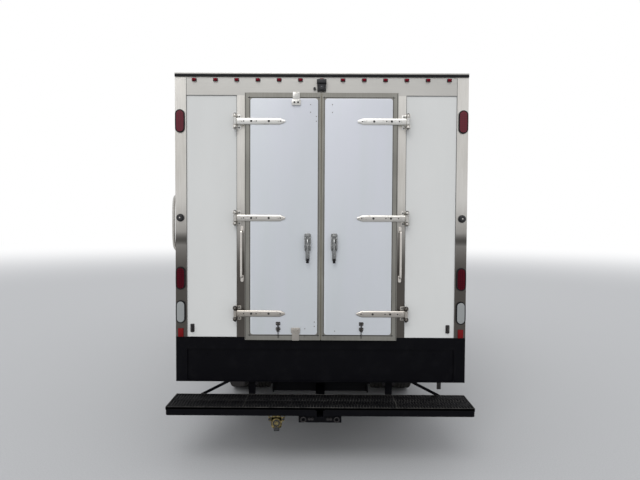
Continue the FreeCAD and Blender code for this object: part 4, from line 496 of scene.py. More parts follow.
# Strap hinges: pressed plated steel, tapered to a point, with sloping edges,
# a rolled barrel and a row of bolts and rivets into the door.
plated = grained("bright_zinc_plate", "#EAE9E5", "#CDCBC5", 90, "x", roughness=0.34)
plated.paint(plated.spread(plated.noise(38, 6, 0.7), 0.58, 0.75), plated.tone, "#8F8A80")
# Painted reflection: the plating is painted darker towards the foot, as if it mirrored dark ground.
plated.paint(plated.spread(plated.axis("Z"), 2.75, 1.15, 0, 0.55), plated.tone, "#8E8172")
dark_steel = grained("blackened_bolt_steel", "#4E4C49", "#37353A", 120, roughness=0.45)
pin_x, pin_y = 0.710, rear_y - 0.055
strap_heights = (1.219, 2.015, 2.811)
strap_length = 0.413
strap_half = 0.0275
strap_front = face_y - 0.010
bolt_spots = (0.070, 0.132, 0.174, 0.277, 0.374)


def cut(mesh, spot, way, clear=False):
    """Cut a mesh along a plane, and drop what lies beyond it if asked."""
    bmesh.ops.bisect_plane(mesh, geom=mesh.verts[:] + mesh.edges[:] + mesh.faces[:], plane_co=spot,
                           plane_no=way, clear_outer=clear)


def strap(mesh, z):
    """One strap: a sloped-edge bar pulled to a point, and its rolled barrel."""
    made = bmesh.new()
    box(made, (pin_x - strap_length, strap_front, z - strap_half), (pin_x, face_y, z + strap_half))
    lips = [edge for edge in made.edges
            if abs((edge.verts[1].co - edge.verts[0].co).x) > 0.1
            and edge.verts[0].co.y < strap_front + 0.001]
    bevel(made, lips, 0.006, 2)
    for level_z in (-0.016, -0.008, 0.008, 0.016):
        cut(made, (0, 0, z + level_z), (0, 0, 1))
    for corner in made.verts:
        if corner.co.y < strap_front + 0.0065:
            corner.co.y += 0.0042 * abs((corner.co.z - z) / strap_half) ** 2
    for share in (0.045, 0.11):
        cut(made, (pin_x - strap_length + share * strap_length, 0, z), (1, 0, 0))
    for corner in made.verts:
        run = (corner.co.x - pin_x + strap_length) / strap_length
        if run < 0.1:
            corner.co.z = z + (corner.co.z - z) * (0.3 if run < 0.02 else 0.62)
    pour(mesh, made)
    rod(mesh, (pin_x, pin_y, z - strap_half), (pin_x, pin_y, z + strap_half), 0.013, 20)
    box(mesh, (pin_x - 0.012, strap_front, z - strap_half), (pin_x + 0.004, face_y - 0.002, z + strap_half),
        0.002)


for side, sign in SIDES:
    straps = bmesh.new()
    bolts = bmesh.new()
    for z in strap_heights:
        strap(straps, z)
        for number, spot in enumerate(bolt_spots):
            x = pin_x - spot
            if number % 2:
                screw(bolts, (x, strap_front, z), (0, -1, 0), 0.013, 0.0045, 6)
            else:
                rod(bolts, (x, strap_front - 0.0006, z), (x, strap_front + 0.002, z), 0.0055, 10)
                screw(straps, (x + 0.017, strap_front, z), (0, -1, 0), 0.015, 0.0035, 8)
    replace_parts(piece("strap_hinges_" + side, handed(straps, sign), plated, "cargo_door_" + side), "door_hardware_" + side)
    piece("strap_bolts_" + side, handed(bolts, sign), dark_steel, "cargo_door_" + side)

# Hinge posts and butts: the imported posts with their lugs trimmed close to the
# pins, a thin leaf behind each strap, and two bright bolts in every leaf.
lug_end = 0.7285
leaf_inner, leaf_outer, leaf_half, leaf_thick = 0.667, 0.7255, 0.0595, 0.0035
chrome = clouded("chromed_casting", "#B9BBBA", (55, 6, 0.7), ("#55575A", "#B4B5B2"), metallic=1,
                 roughness=0.16)
chrome.set("Roughness", chrome.spread(chrome.noise(55, 6, 0.7), 0.35, 0.7, 0.12, 0.34))


def packed(label):
    """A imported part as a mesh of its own, with its doubled corners merged."""
    made = bmesh.new()
    made.from_mesh(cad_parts[label].data)
    bmesh.ops.remove_doubles(made, verts=made.verts, dist=0.00005)
    return made


mesh = packed("hinge_posts")
for sign in (-1, 1):
    cut(mesh, (sign * lug_end, 0, 0), (sign, 0, 0), True)
    bmesh.ops.holes_fill(mesh, edges=[edge for edge in mesh.edges if edge.is_boundary])
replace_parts(piece("hinge_posts_and_lugs", mesh, stainless, "chassis"), "hinge_posts")
mesh, leaves, leaf_bolts = bmesh.new(), bmesh.new(), bmesh.new()
for sign in (-1, 1):
    for z in strap_heights:
        slab(leaves, (sign * leaf_inner, rear_y - leaf_thick, z - leaf_half),
             (sign * leaf_outer, rear_y, z + leaf_half), 0.007, 1, 0.001)
        for rise in (-0.046, 0.046):
            screw(leaf_bolts, (sign * 0.684, rear_y - leaf_thick, z + rise), (0, -1, 0), 0.016, 0.007, 10)
        for way in (1, -1):
            rod(mesh, (sign * pin_x, pin_y, z + way * 0.0575), (sign * pin_x, pin_y, z + way * 0.0635),
                0.0115, 16, 0.009)
piece("pin_ends", mesh, dark_steel, "chassis")
piece("butt_leaves", leaves, plated, "chassis")
piece("butt_bolts", leaf_bolts, chrome, "chassis")

# Door latches: chromed castings with a flared foot, two side ribs and a
# round boss, and a folding lever that ends in a black rubber tip.
latch_x = 0.110
latch_top = 1.890
latch_foot = 1.648


def latch(mesh, tips):
    """One latch: its cast body in steps, the ribs, the boss and the lever."""
    slab(mesh, (latch_x - 0.027, face_y - 0.007, latch_top - 0.150), (latch_x + 0.027, face_y, latch_top),
         0.016, 1, 0.002)
    slab(mesh, (latch_x - 0.017, face_y - 0.008, latch_foot + 0.02),
         (latch_x + 0.017, face_y, latch_top - 0.12), 0.010, 1, 0.002)
    box(mesh, (latch_x - 0.016, face_y - 0.019, latch_top - 0.034),
        (latch_x + 0.016, face_y - 0.006, latch_top - 0.012), 0.004)
    for sign in (-1, 1):
        slab(mesh, (latch_x + sign * 0.020 - 0.0045, face_y - 0.030, latch_top - 0.142),
             (latch_x + sign * 0.020 + 0.0045, face_y - 0.005, latch_top - 0.030), 0.012, 0, 0.0015)
        screw(mesh, (latch_x + sign * 0.018, face_y - 0.007, latch_top - 0.015), (0, -1, 0), 0.012, 0.006)
        screw(mesh, (latch_x + sign * 0.011, face_y - 0.008, latch_top - 0.222), (0, -1, 0), 0.010, 0.005)
    rod(mesh, (latch_x - 0.027, face_y - 0.022, latch_top - 0.100),
        (latch_x + 0.027, face_y - 0.022, latch_top - 0.100), 0.008, 16)
    rod(mesh, (latch_x, face_y - 0.036, latch_top - 0.092), (latch_x, face_y - 0.008, latch_top - 0.092),
        0.015, 20)
    made = bmesh.new()
    slab(made, (latch_x - 0.009, -0.007, -0.168), (latch_x + 0.009, 0.006, 0.02), 0.006, 2, 0.0015)
    cut(made, (0, 0, -0.06), (0, 0, 1))
    for corner in made.verts:
        if corner.co.z > -0.059:
            corner.co.y += (corner.co.z + 0.06) * 0.16
    bmesh.ops.translate(made, verts=made.verts, vec=(0, face_y - 0.034, latch_top - 0.070))
    pour(mesh, made)
    slab(tips, (latch_x - 0.011, face_y - 0.043, latch_foot - 0.004),
         (latch_x + 0.011, face_y - 0.026, latch_foot + 0.034), 0.008, 2, 0.002)


for side, sign in SIDES:
    body, tips = bmesh.new(), bmesh.new()
    latch(body, tips)
    piece("latch_" + side, handed(body, sign), chrome, "cargo_door_" + side)
    piece("latch_tip_" + side, handed(tips, sign), seal_rubber, "cargo_door_" + side)

# Keeper plates lap the frame at the head and foot of the left door, and each
# door has a hold-back hook on a small plate near its foot.
keeper_x, keeper_half = 0.208, 0.038


def keeper(mesh, end, inward):
    """A folded plate with a narrow neck over the frame and a rolled lip."""
    slab(mesh, (keeper_x - 0.029, face_y - 0.008, end), (keeper_x + 0.029, face_y, end + inward * 0.085),
         0.004, 1, 0.0012)
    slab(mesh, (keeper_x - keeper_half, face_y - 0.010, end + inward * 0.062),
         (keeper_x + keeper_half, face_y, end + inward * 0.106), 0.006, 1, 0.0015)
    rod(mesh, (keeper_x - 0.030, face_y - 0.011, end + inward * 0.104),
        (keeper_x + 0.030, face_y - 0.011, end + inward * 0.104), 0.0035, 10)


for side, sign in SIDES:
    plates, bolts = bmesh.new(), bmesh.new()
    if side == "left":
        keeper(plates, door_high.z + 0.002, -1)
        keeper(plates, door_low.z - 0.001, 1)
        for x in (keeper_x - 0.015, keeper_x + 0.015):
            screw(bolts, (x, face_y - 0.010, door_high.z - 0.082), (0, -1, 0), 0.011, 0.004, 6)
            screw(plates, (x, face_y - 0.010, door_low.z + 0.083), (0, -1, 0), 0.013, 0.005, 8)
    hook_x = 0.354 if side == "left" else 0.339
    for low_z, high_z in ((1.122, 1.150), (1.080, 1.104)):
        slab(bolts, (hook_x - 0.019, face_y - 0.004, low_z), (hook_x + 0.019, face_y, high_z), 0.006, 1,
             0.001)
        for x in (hook_x - 0.012, hook_x + 0.012):
            screw(plates, (x, face_y - 0.004, (low_z + high_z) / 2), (0, -1, 0), 0.008, 0.003, 8)
    slab(bolts, (hook_x - 0.006, face_y - 0.016, 1.072), (hook_x + 0.006, face_y - 0.002, 1.142), 0.004, 0,
         0.001)
    rod(bolts, (hook_x - 0.012, face_y - 0.011, 1.076), (hook_x + 0.012, face_y - 0.011, 1.076), 0.005, 12)
    rod(bolts, (hook_x, face_y - 0.006, 1.075), (hook_x, face_y - 0.004, 1.013), 0.003, 8)
    piece("keepers_and_hook_" + side, handed(plates, sign), plated, "cargo_door_" + side)
    piece("keeper_bolts_" + side, handed(bolts, sign), dark_steel, "cargo_door_" + side)

# Grab handles on the hinge posts: bent polished bar with flattened, bolted
# ends. The left wall has a thicker plated one, and catches wait for the hooks.
handle_x = 0.660
handle_low, handle_high = 1.510, 1.918
handle_y = rear_y - 0.052


def bent(mesh, points, radius, sides=12):
    """A round bar along a smooth line through the given points."""
    curve = bpy.data.curves.new("bent", "CURVE")
    curve.dimensions = "3D"
    curve.bevel_depth = radius
    curve.bevel_resolution = sides // 4
    curve.resolution_u = 8
    curve.use_fill_caps = True
    line = curve.splines.new("NURBS")
    line.points.add(len(points) - 1)
    for point, where in zip(line.points, points):
        point.co = (*where, 1)
    line.order_u = 3
    line.use_endpoint_u = True
    holder = bpy.data.objects.new("bent", curve)
    data = bpy.data.meshes.new_from_object(holder)
    made = bmesh.new()
    made.from_mesh(data)
    bmesh.ops.remove_doubles(made, verts=made.verts, dist=radius / 50)
    bpy.data.objects.remove(holder)
    bpy.data.curves.remove(curve)
    bpy.data.meshes.remove(data)
    pour(mesh, made)


polished = clouded("polished_grab_bar", "#EDE6DD", (30, 5), ("#D6CFC6", "#F4EFE8"), metallic=1,
                   roughness=0.3)
mesh = bmesh.new()
for sign in (-1, 1):
    x = sign * handle_x
    bent(mesh, [(x, rear_y, handle_high - 0.012), (x, handle_y + 0.02, handle_high - 0.012),
                (x, handle_y, handle_high - 0.014), (x, handle_y, handle_high - 0.05), (x, handle_y, 1.70),
                (x, handle_y, handle_low + 0.05), (x, handle_y, handle_low + 0.014),
                (x, handle_y + 0.02, handle_low + 0.012), (x, rear_y, handle_low + 0.012)], 0.0095)
    for z, way in ((handle_high, 1), (handle_low, -1)):
        slab(mesh, (x - 0.013, rear_y - 0.005, z - way * 0.028), (x + 0.013, rear_y, z + way * 0.030),
             0.011, 1, 0.0012)
        screw(mesh, (x, rear_y - 0.005, z + way * 0.020), (0, -1, 0), 0.012, 0.005, 6)
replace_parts(piece("rear_grab_handles", mesh, polished, "chassis"), "grab_handles")
wall_x = -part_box("rear_posts")[1].x
grip_x = wall_x - 0.050
grip_y = rear_y + 0.085
mesh = bmesh.new()
bent(mesh, [(wall_x, grip_y, 2.214), (grip_x + 0.030, grip_y, 2.208), (grip_x + 0.010, grip_y, 2.17),
            (grip_x + 0.008, grip_y, 1.97), (grip_x + 0.010, grip_y, 1.78), (grip_x + 0.030, grip_y, 1.742),
            (wall_x, grip_y, 1.734)], 0.0115)
for z in (2.214, 1.734):
    slab(mesh, (wall_x - 0.006, grip_y - 0.022, z - 0.030), (wall_x, grip_y + 0.022, z + 0.030), 0.014, 0,
         0.002)
    for step in (-0.021, 0.021):
        screw(mesh, (wall_x - 0.006, grip_y, z + step), (-1, 0, 0), 0.011, 0.004, 6)
piece("side_grab_handle", mesh, plated, "chassis")
mesh = bmesh.new()
for x in (-1.080, 1.069):
    slab(mesh, (x - 0.017, panel_y - 0.004, 1.052), (x + 0.017, panel_y, 1.122), 0.006, 1, 0.001)
    bent(mesh, [(x, panel_y - 0.004, 1.104), (x, panel_y - 0.022, 1.100), (x, panel_y - 0.032, 1.084),
                (x, panel_y - 0.030, 1.066), (x, panel_y - 0.014, 1.056)], 0.0055, 8)
    for z in (1.060, 1.114):
        screw(mesh, (x, panel_y - 0.004, z), (0, -1, 0), 0.009, 0.003, 8)
piece("door_hold_back_catches", mesh, dark_steel, "chassis")

# Rear camera under its hood, a small black plug in the header beside it, and
# round black bump stops on the posts with a pale screw in the middle.
bump_z, eye_z = 2.015, 3.092
mesh = bmesh.new()
slab(mesh, (-0.036, rear_y - 0.030, 3.064), (0.036, rear_y, 3.140), 0.008, 1, 0.003)
slab(mesh, (-0.0395, rear_y - 0.046, 3.122), (0.0395, rear_y - 0.004, 3.158), 0.010, 0, 0.002)
box(mesh, (-0.030, rear_y - 0.036, 3.104), (0.030, rear_y - 0.004, 3.110), 0.001)
rod(mesh, (0, rear_y - 0.041, eye_z), (0, rear_y - 0.02, eye_z), 0.020, 24)
rod(mesh, (-0.058, rear_y - 0.018, 3.087), (-0.058, rear_y, 3.087), 0.011, 16)
for sign in (-1, 1):
    spot = Vector((sign * lamp_x, rear_y, bump_z))
    middle, tip = spot - Vector((0, 0.012, 0)), spot - Vector((0, 0.026, 0))
    rod(mesh, spot, middle, 0.033, 32, 0.031)
    rod(mesh, middle, tip, 0.026, 32, 0.021)
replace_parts(piece("rear_camera_case", mesh, black_abs, "chassis"), "rear_camera")
mesh = bmesh.new()
for sign in (-1, 1):
    screw(mesh, (sign * lamp_x, rear_y - 0.0255, bump_z), (0, -1, 0), 0.014, 0.0015, 8)
piece("bump_stop_screws", mesh, plated, "chassis")
glossy_lens = Finish("camera_lens_glass", "#0B0D14", roughness=0.04, coat_weight=1)
# Painted sheen: the glass is painted lighter and bluer where it is seen at a glancing angle.
grazing_sheen = add(glossy_lens.tree, "ShaderNodeLayerWeight", {"Blend": 0.4}).outputs["Facing"]
glossy_lens.paint(grazing_sheen, "#0A0C12", "#2A2F45")
mesh = bmesh.new()
bmesh.ops.create_uvsphere(mesh, u_segments=24, v_segments=12, radius=0.013,
                          matrix=Matrix.Translation((0, rear_y - 0.032, eye_z)))
piece("rear_camera_lens", mesh, glossy_lens, "chassis")

# Rear sill: folded black-painted steel with a recessed panel between raised
# borders. Road grit has dulled the paint and speckled its lower edge.
black_enamel = Finish("black_chassis_enamel", "#0C0C10", roughness=0.6, specular_ior_level=0.08)
dust = black_enamel.noise(9, 8, 0.7)
speck = black_enamel.spread(black_enamel.cells(240, 1), 0, 0.16, 0.3, 0)
grime_and_reflection = black_enamel.spread(dust, 0.5, 0.85, 0, 0.2)
black_enamel.paint(black_enamel.calc("MAXIMUM", speck, grime_and_reflection), "#050509", "#2B2B2D")
black_enamel.set("Roughness", black_enamel.spread(dust, 0, 1, 0.38, 0.62))
black_enamel.bump(dust, 0.15, 0.002)
dress("rear_sill", black_enamel)
dress("step_bumper", black_enamel)

# Step deck: pressed safety grating with rows of long holes whose rims are
# raised into teeth. The paint is worn back to bright steel on the teeth, and
# a small grey patch on the front edge above the receiver is a painted highlight.
deck_low, deck_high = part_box("step_deck")
hole_rows, hole_columns = 2, 104
cell_wide = (deck_high.x - deck_low.x) / hole_columns
cell_deep = (deck_high.y - deck_low.y) / hole_rows
tooth = 0.0045
sheet = 0.014
mesh = bmesh.new()
bmesh.ops.create_grid(mesh, x_segments=1, y_segments=1, size=0.5)
bmesh.ops.scale(mesh, vec=(cell_wide, cell_deep, 1), verts=mesh.verts)
bmesh.ops.inset_individual(mesh, faces=list(mesh.faces), thickness=0.0028, use_even_offset=True)
middle = min(mesh.faces, key=lambda face: face.calc_center_median().length)
bevel(mesh, list(middle.verts), 0.004, 1, "VERTICES")
middle = min(mesh.faces, key=lambda face: face.calc_center_median().length)
bmesh.ops.inset_individual(mesh, faces=[middle], thickness=0.0016, depth=tooth * 0.6, use_even_offset=True)
middle = min(mesh.faces, key=lambda face: face.calc_center_median().xy.length)
for number, corner in enumerate(middle.verts):
    corner.co.z = tooth if number % 2 else tooth * 0.35
bmesh.ops.delete(mesh, geom=[middle], context="FACES")
first_cell = (deck_low.x + cell_wide / 2, deck_low.y + cell_deep / 2, deck_high.z - tooth)
bmesh.ops.translate(mesh, verts=mesh.verts, vec=first_cell)
worn_teeth = Finish("worn_black_grating", "#101014", roughness=0.55, specular_ior_level=0.1)
crest = worn_teeth.spread(worn_teeth.axis("Z"), deck_high.z - 0.0035, deck_high.z, 0, 0.7)
worn = worn_teeth.calc("MULTIPLY", crest, worn_teeth.spread(worn_teeth.noise(14, 6, 0.7), 0.3, 0.65))
worn_teeth.paint(worn, "#0B0B0E", "#6A6864")
# Painted highlight: a small grey patch on the deck's front edge above the receiver.
receiver_highlight = worn_teeth.calc("COMPARE", worn_teeth.axis("X"), 0, 0.037)
for axis, middle, half in (("Z", deck_low.z + 0.008, 0.009), ("Y", deck_low.y, 0.002)):
    receiver_highlight = worn_teeth.calc("MULTIPLY", receiver_highlight,
                             worn_teeth.calc("COMPARE", worn_teeth.axis(axis), middle, half))
worn_teeth.paint(receiver_highlight, worn_teeth.tone, "#6E6E72")
worn_teeth.set("Metallic", worn_teeth.calc("MULTIPLY", worn, 0.4))
deck = piece("step_deck_grating", mesh, worn_teeth, "chassis")
for count, offset in ((hole_columns, (cell_wide, 0, 0)), (hole_rows, (0, cell_deep, 0))):
    row = deck.modifiers.new("Row", "ARRAY")
    row.count = count
    row.use_relative_offset = False
    row.use_constant_offset = True
    row.constant_offset_displace = offset
    row.use_merge_vertices = True
    row.merge_threshold = 0.0002
thick = deck.modifiers.new("Sheet", "SOLIDIFY")
thick.thickness = sheet
thick.offset = -1
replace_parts(deck, "step_deck")
mesh = bmesh.new()
edge_half = deck_high.x
for low_y, high_y in ((deck_low.y, deck_low.y + 0.0045), (deck_high.y - 0.0045, deck_high.y)):
    box(mesh, (-edge_half, low_y, deck_low.z), (edge_half, high_y, deck_high.z), 0.001, 1)
for x in (-edge_half, -0.612, 0.608, edge_half - 0.004):
    box(mesh, (x, deck_low.y + 0.004, deck_low.z), (x + 0.004, deck_high.y - 0.004, deck_high.z - 0.0005))
# A thin black sheet closes the deck's underside, a dark sheet standing in for the shade seen through the
# holes.
box(mesh, (-edge_half, deck_low.y, deck_low.z), (edge_half, deck_high.y, deck_low.z + 0.002))
piece("step_deck_edges", mesh, worn_teeth, "chassis")

# Under the step: safety-chain rings and bolts on the hitch plate, and small
# tabs below the sill where wiring and mud shields are tied.
plate_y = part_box("step_bumper")[0].y + 0.026
sill_face = rear_y + 0.012
mesh, bolts = bmesh.new(), bmesh.new()
for sign in (-1, 1):
    link = bmesh.new()
    bmesh.ops.create_circle(link, segments=8, radius=0.0055, matrix=Matrix.Translation((0.019, 0, 0)) @
                            Matrix.Rotation(math.radians(90), 4, "X"))
    bmesh.ops.spin(link, geom=list(link.verts) + list(link.edges), cent=(0, 0, 0), axis=(0, 0, 1),
                   angle=math.tau, steps=20, use_merge=True)
    bmesh.ops.rotate(link, verts=link.verts, cent=(0, 0, 0),
                     matrix=Matrix.Rotation(math.radians(90), 3, "X"))
    bmesh.ops.translate(link, verts=link.verts, vec=(sign * 0.132, plate_y - 0.006, 0.4185))
    pour(mesh, link)
    for x in (0.062, 0.085):
        screw(mesh, (sign * x, plate_y, 0.421), (0, -1, 0), 0.016, 0.009, 6)
    for x in (0.545, 0.625):
        screw(mesh, (sign * x, rear_y + 0.060, 0.60), (0, -1, 0), 0.018, 0.010, 6)
    for x, z in ((0.962, 0.864), (0.790, 0.868), (1.085, 0.728)):
        screw(bolts, (sign * x, sill_face, z), (0, -1, 0), 0.013, 0.005, 6)
rod(mesh, (-0.060, plate_y + 0.155, 0.472), (0.060, plate_y + 0.155, 0.472), 0.0075, 12)
slab(mesh, (-0.752, rear_y + 0.004, 0.592), (-0.640, rear_y + 0.009, 0.634), 0.010, 1)
slab(mesh, (0.985, rear_y + 0.004, 0.575), (1.020, rear_y + 0.009, 0.634), 0.006, 1)
piece("hitch_rings_and_bolts", mesh, dark_steel, "chassis")
piece("sill_bolts", bolts, black_enamel, "chassis")

# Trailer socket: a seven-way outlet in black moulding, its cap hanging open, on
# a zinc-plated bracket whose yellow passivation has gone patchy.
yellow_zinc = clouded("yellow_zinc_plate", "#8E7D52", (42, 6, 0.75), ("#3A301C", "#A3935F"),
                      reach=(0.42, 0.6), metallic=0.6, roughness=0.48)
socket_low, socket_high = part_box("trailer_socket")
socket_x = (socket_low.x + socket_high.x) / 2
socket_z = (socket_low.z + socket_high.z) / 2
front = socket_high.y - 0.045
contact_ring = 0.017
zinc, mesh = bmesh.new(), bmesh.new()
slab(zinc, (socket_low.x + 0.020, front, socket_low.z + 0.012),
     (socket_high.x - 0.020, front + 0.005, socket_high.z), 0.034, 1, 0.001)
slab(zinc, (socket_low.x, front, socket_high.z - 0.052),
     (socket_high.x, front + 0.005, socket_high.z - 0.018), 0.010, 1, 0.001)
for x in (socket_low.x, socket_high.x - 0.004):
    box(zinc, (x, front + 0.003, socket_high.z - 0.050), (x + 0.004, socket_high.y, socket_high.z - 0.004),
        0.001, 1)
rod(zinc, (socket_x, front + 0.002, socket_z), (socket_x, front - 0.009, socket_z), 0.037, 32, 0.035)
rod(zinc, (socket_x, front - 0.012, socket_z), (socket_x, front - 0.0135, socket_z), contact_ring, 24)
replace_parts(piece("trailer_socket_bracket", zinc, yellow_zinc, "chassis"), "trailer_socket")
for x in (-0.054, 0.054):
    screw(mesh, (socket_x + x, front, socket_high.z - 0.035), (0, -1, 0), 0.015, 0.008, 6)
rod(mesh, (socket_x, front + 0.040, socket_z), (socket_x, front - 0.0115, socket_z), 0.030, 32, 0.028)
for turn in range(7):
    angle = math.tau * turn / 7
    x, z = socket_x + 0.011 * math.cos(angle), socket_z + 0.011 * math.sin(angle)
    rod(mesh, (x, front - 0.0135, z), (x, front - 0.0142, z), 0.0026, 8)
rod(mesh, (socket_x - 0.016, front - 0.010, socket_z - 0.036),
    (socket_x + 0.016, front - 0.010, socket_z - 0.036), 0.0045, 10)
slab(mesh, (socket_x - 0.020, front - 0.0205, socket_low.z + 0.001),
     (socket_x + 0.024, front - 0.004, socket_low.z + 0.024), 0.007, 0, 0.0015)
piece("trailer_socket_cap", mesh, black_abs, "chassis")

# Cargo walls, nose and roof: foam-cored panels skinned in white gel-coated
# sheet. Rain has drawn faint streaks down them, and road film greys the foot.
wall_gelcoat = Finish("weathered_white_gelcoat", "#CFD0CE", roughness=0.34, coat_weight=0.2,
                      coat_roughness=0.2)
streaks = wall_gelcoat.noise(11, 6, 0.6, (1, 1, 0.05))
foot = wall_gelcoat.spread(wall_gelcoat.axis("Z"), 1.75, 0.95, 0, 0.75, True)
grime_and_reflection = wall_gelcoat.calc("MULTIPLY", foot, wall_gelcoat.spread(streaks, 0.35, 0.8, 0.1, 1))
wall_gelcoat.paint(streaks, "#C9CAC8", "#D6D7D5")
wall_gelcoat.paint(grime_and_reflection, wall_gelcoat.tone, "#A5A29B")
wall_gelcoat.bump(wall_gelcoat.noise(140, 2), 0.08, 0.001)
for label in ("cargo_wall_right", "cargo_wall_left", "cargo_roof"):
    dress(label, wall_gelcoat)


def rolled(item, width, degrees=30, harden=False):
    """Roll over a piece's sharp edges."""
    roll = item.modifiers.new("Rolled edge", "BEVEL")
    roll.width = width
    roll.segments = 2
    roll.limit_method = "ANGLE"
    roll.angle_limit = math.radians(degrees)
    roll.harden_normals = harden


def refined(label, name, finish, body, soft=0.003, keep=None):
    """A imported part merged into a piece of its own, its edges rolled over."""
    made = packed(label)
    if keep:
        bmesh.ops.delete(made, geom=[face for face in made.faces if not keep(face.calc_center_median())],
                         context="FACES")
    bmesh.ops.dissolve_limit(made, angle_limit=math.radians(0.5), verts=made.verts, edges=made.edges)
    item = piece(name, made, finish, body, 30)
    rolled(item, soft, 35, True)
    return item


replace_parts(refined("cargo_front_wall", "nose_panel", wall_gelcoat, "chassis"),
            "cargo_front_wall")

# Body rails and corners: mill aluminium extrusions along the top and foot of
# each wall and up the nose, fixed by rows of dome-headed rivets.
bright_rail = grained("bright_aluminium_rail", "#B9B9B6", "#9C9C98", 260, "y", roughness=0.4)
wall_low, wall_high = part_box("cargo_wall_right")
wall_face = wall_high.x
nose_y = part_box("cargo_front_wall")[1].y
rail_proud = 0.0015
rivet_pitch = 0.152
rails, rivets = bmesh.new(), bmesh.new()
foot_z, foot_high = wall_low.z, wall_low.z + 0.130
head_low, head_z = wall_high.z - 0.090, wall_high.z


def rivet(mesh, spot, way, across=0.0105, tall=0.0028):
    """A low domed rivet head with six sides, cheap enough for long rows."""
    spot, way = Vector(spot), Vector(way)
    rod(mesh, spot, spot + way * tall, across / 2, 6, across * 0.27)


for sign in (-1, 1):
    for low_z, high_z, lip in ((foot_z + 0.001, foot_high - 0.001, foot_z + 0.006),
                               (head_low + 0.001, head_z - 0.001, head_low + 0.006)):
        box(rails, (sign * (wall_face - 0.001), wall_low.y + 0.002, low_z),
            (sign * (wall_face + rail_proud), nose_y - 0.075, high_z), 0.0006, 1)
        box(rails, (sign * wall_face, wall_low.y + 0.002, lip),
            (sign * (wall_face + 0.005), nose_y - 0.075, lip + 0.006), 0.0015, 1)
    for z in (foot_z + 0.030, foot_high - 0.020, head_low + 0.026):
        for number in range(int((nose_y - 0.1 - wall_low.y) / rivet_pitch)):
            y = wall_low.y + 0.05 + number * rivet_pitch
            rivet(rivets, (sign * (wall_face + rail_proud), y, z), (sign, 0, 0))
    box(rails, (sign * (wall_face - 0.075), nose_y - 0.001, foot_z + 0.002),
        (sign * (wall_face - 0.215), nose_y + rail_proud, head_z - 0.002), 0.0006, 1)
    for number in range(15):
        z = foot_z + 0.06 + number * rivet_pitch * 0.97
        for x in (wall_face - 0.195, wall_face - 0.095):
            rivet(rivets, (sign * x, nose_y + rail_proud, z), (0, 1, 0))
roof_low, roof_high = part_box("cargo_roof")
for number in range(31):
    y = roof_low.y + 0.05 + number * rivet_pitch
    for sign in (-1, 1):
        rivet(rivets, (sign * (wall_face - 0.045), y, roof_high.z), (0, 0, 1))
for number in range(15):
    x = (number - 7) * rivet_pitch
    for y in (roof_low.y + 0.03, roof_high.y - 0.03):
        rivet(rivets, (x, y, roof_high.z), (0, 0, 1))
piece("body_rails", rails, bright_rail, "chassis")
piece("body_rivets", rivets, bright_rail, "chassis")

# Clearance and side marker lamps: amber at the nose, amid the sides and red
# at the tail, each a small moulded lens on a black base.
amber_lens = Finish("amber_polycarbonate_lens", "#B85A10", roughness=0.2, coat_weight=0.5,
                    coat_roughness=0.05)
amber_lens.paint(amber_lens.cells(90), "#E08420", "#8F3F0A")
amber_lens.bump(amber_lens.waves(60, "Z"), 0.2, 0.001)
amber, tail, bases = bmesh.new(), bmesh.new(), bmesh.new()
lamp_z = foot_z + 0.066
for sign in (-1, 1):
    for y, lenses in ((nose_y - 0.22, amber), (-0.35, amber), (wall_low.y + 0.18, tail)):
        box(bases, (sign * wall_face, y - 0.055, lamp_z - 0.021),
            (sign * (wall_face + 0.007), y + 0.055, lamp_z + 0.021), 0.003)
        box(lenses, (sign * (wall_face + 0.005), y - 0.042, lamp_z - 0.016),
            (sign * (wall_face + 0.022), y + 0.042, lamp_z + 0.016), 0.006, 3)
for x in (-1.09, -0.16, 0, 0.16, 1.09):
    box(bases, (x - 0.055, nose_y, head_z - 0.058), (x + 0.055, nose_y + 0.007, head_z - 0.016), 0.003)
    box(amber, (x - 0.042, nose_y + 0.005, head_z - 0.053), (x + 0.042, nose_y + 0.022, head_z - 0.021),
        0.006, 3)
piece("side_marker_lenses_amber", amber, amber_lens, "chassis")
piece("side_marker_lenses_red", tail, lens_red, "chassis")
piece("side_marker_bases", bases, black_abs, "chassis")

# Cargo floor: interlocked aluminium planks, ribbed lengthwise at 30 mm, over
# black painted cross sills. The planks are scuffed bright where goods slide.
sill_top = 0.985
planks = Finish("ribbed_aluminium_floor", "#8E9091", metallic=0.8, roughness=0.42)
above_sills = planks.calc("GREATER_THAN", planks.axis("Z"), sill_top)
scuffed = planks.mix(planks.noise(24, 6, stretch=(1, 0.08, 1)), "#737576", "#B5B7B8")
planks.paint(above_sills, "#141416", scuffed)
planks.set("Metallic", planks.calc("MULTIPLY", above_sills, 0.85))
planks.bump(planks.waves(10.5, "X"), 0.5, 0.004)
dress("cargo_floor", planks)

# Door liners and seals: the inner face of each door is white sheet, and a
# hollow rubber seal runs round the plug to close on the frame.
for side, sign in SIDES:
    plug_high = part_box("cargo_door_" + side)[1]
    back = plug_high.y
    edge_in, edge_out = 0.029, 0.603
    low_z, high_z = header_low - 0.012 - 1.995, header_low - 0.012
    mesh = bmesh.new()
    slab(mesh, (edge_in + 0.035, back - 0.0005, low_z + 0.035),
         (edge_out - 0.035, back + 0.0015, high_z - 0.035), 0.015, 1, 0.0005)
    piece("door_liner_" + side, handed(mesh, sign), door_sheet, "cargo_door_" + side)
    mesh = bmesh.new()
    for low, high in (((edge_in, low_z - 0.007), (edge_in + 0.012, high_z + 0.004)),
                      ((edge_out - 0.004, low_z - 0.007), (edge_out + 0.005, high_z + 0.004)),
                      ((edge_in, low_z - 0.007), (edge_out, low_z + 0.004)),
                      ((edge_in, high_z - 0.004), (edge_out, high_z + 0.006))):
        box(mesh, (low[0], back - 0.022, low[1]), (high[0], back - 0.004, high[1]), 0.003)
    piece("door_seal_" + side, handed(mesh, sign), seal_rubber, "cargo_door_" + side)

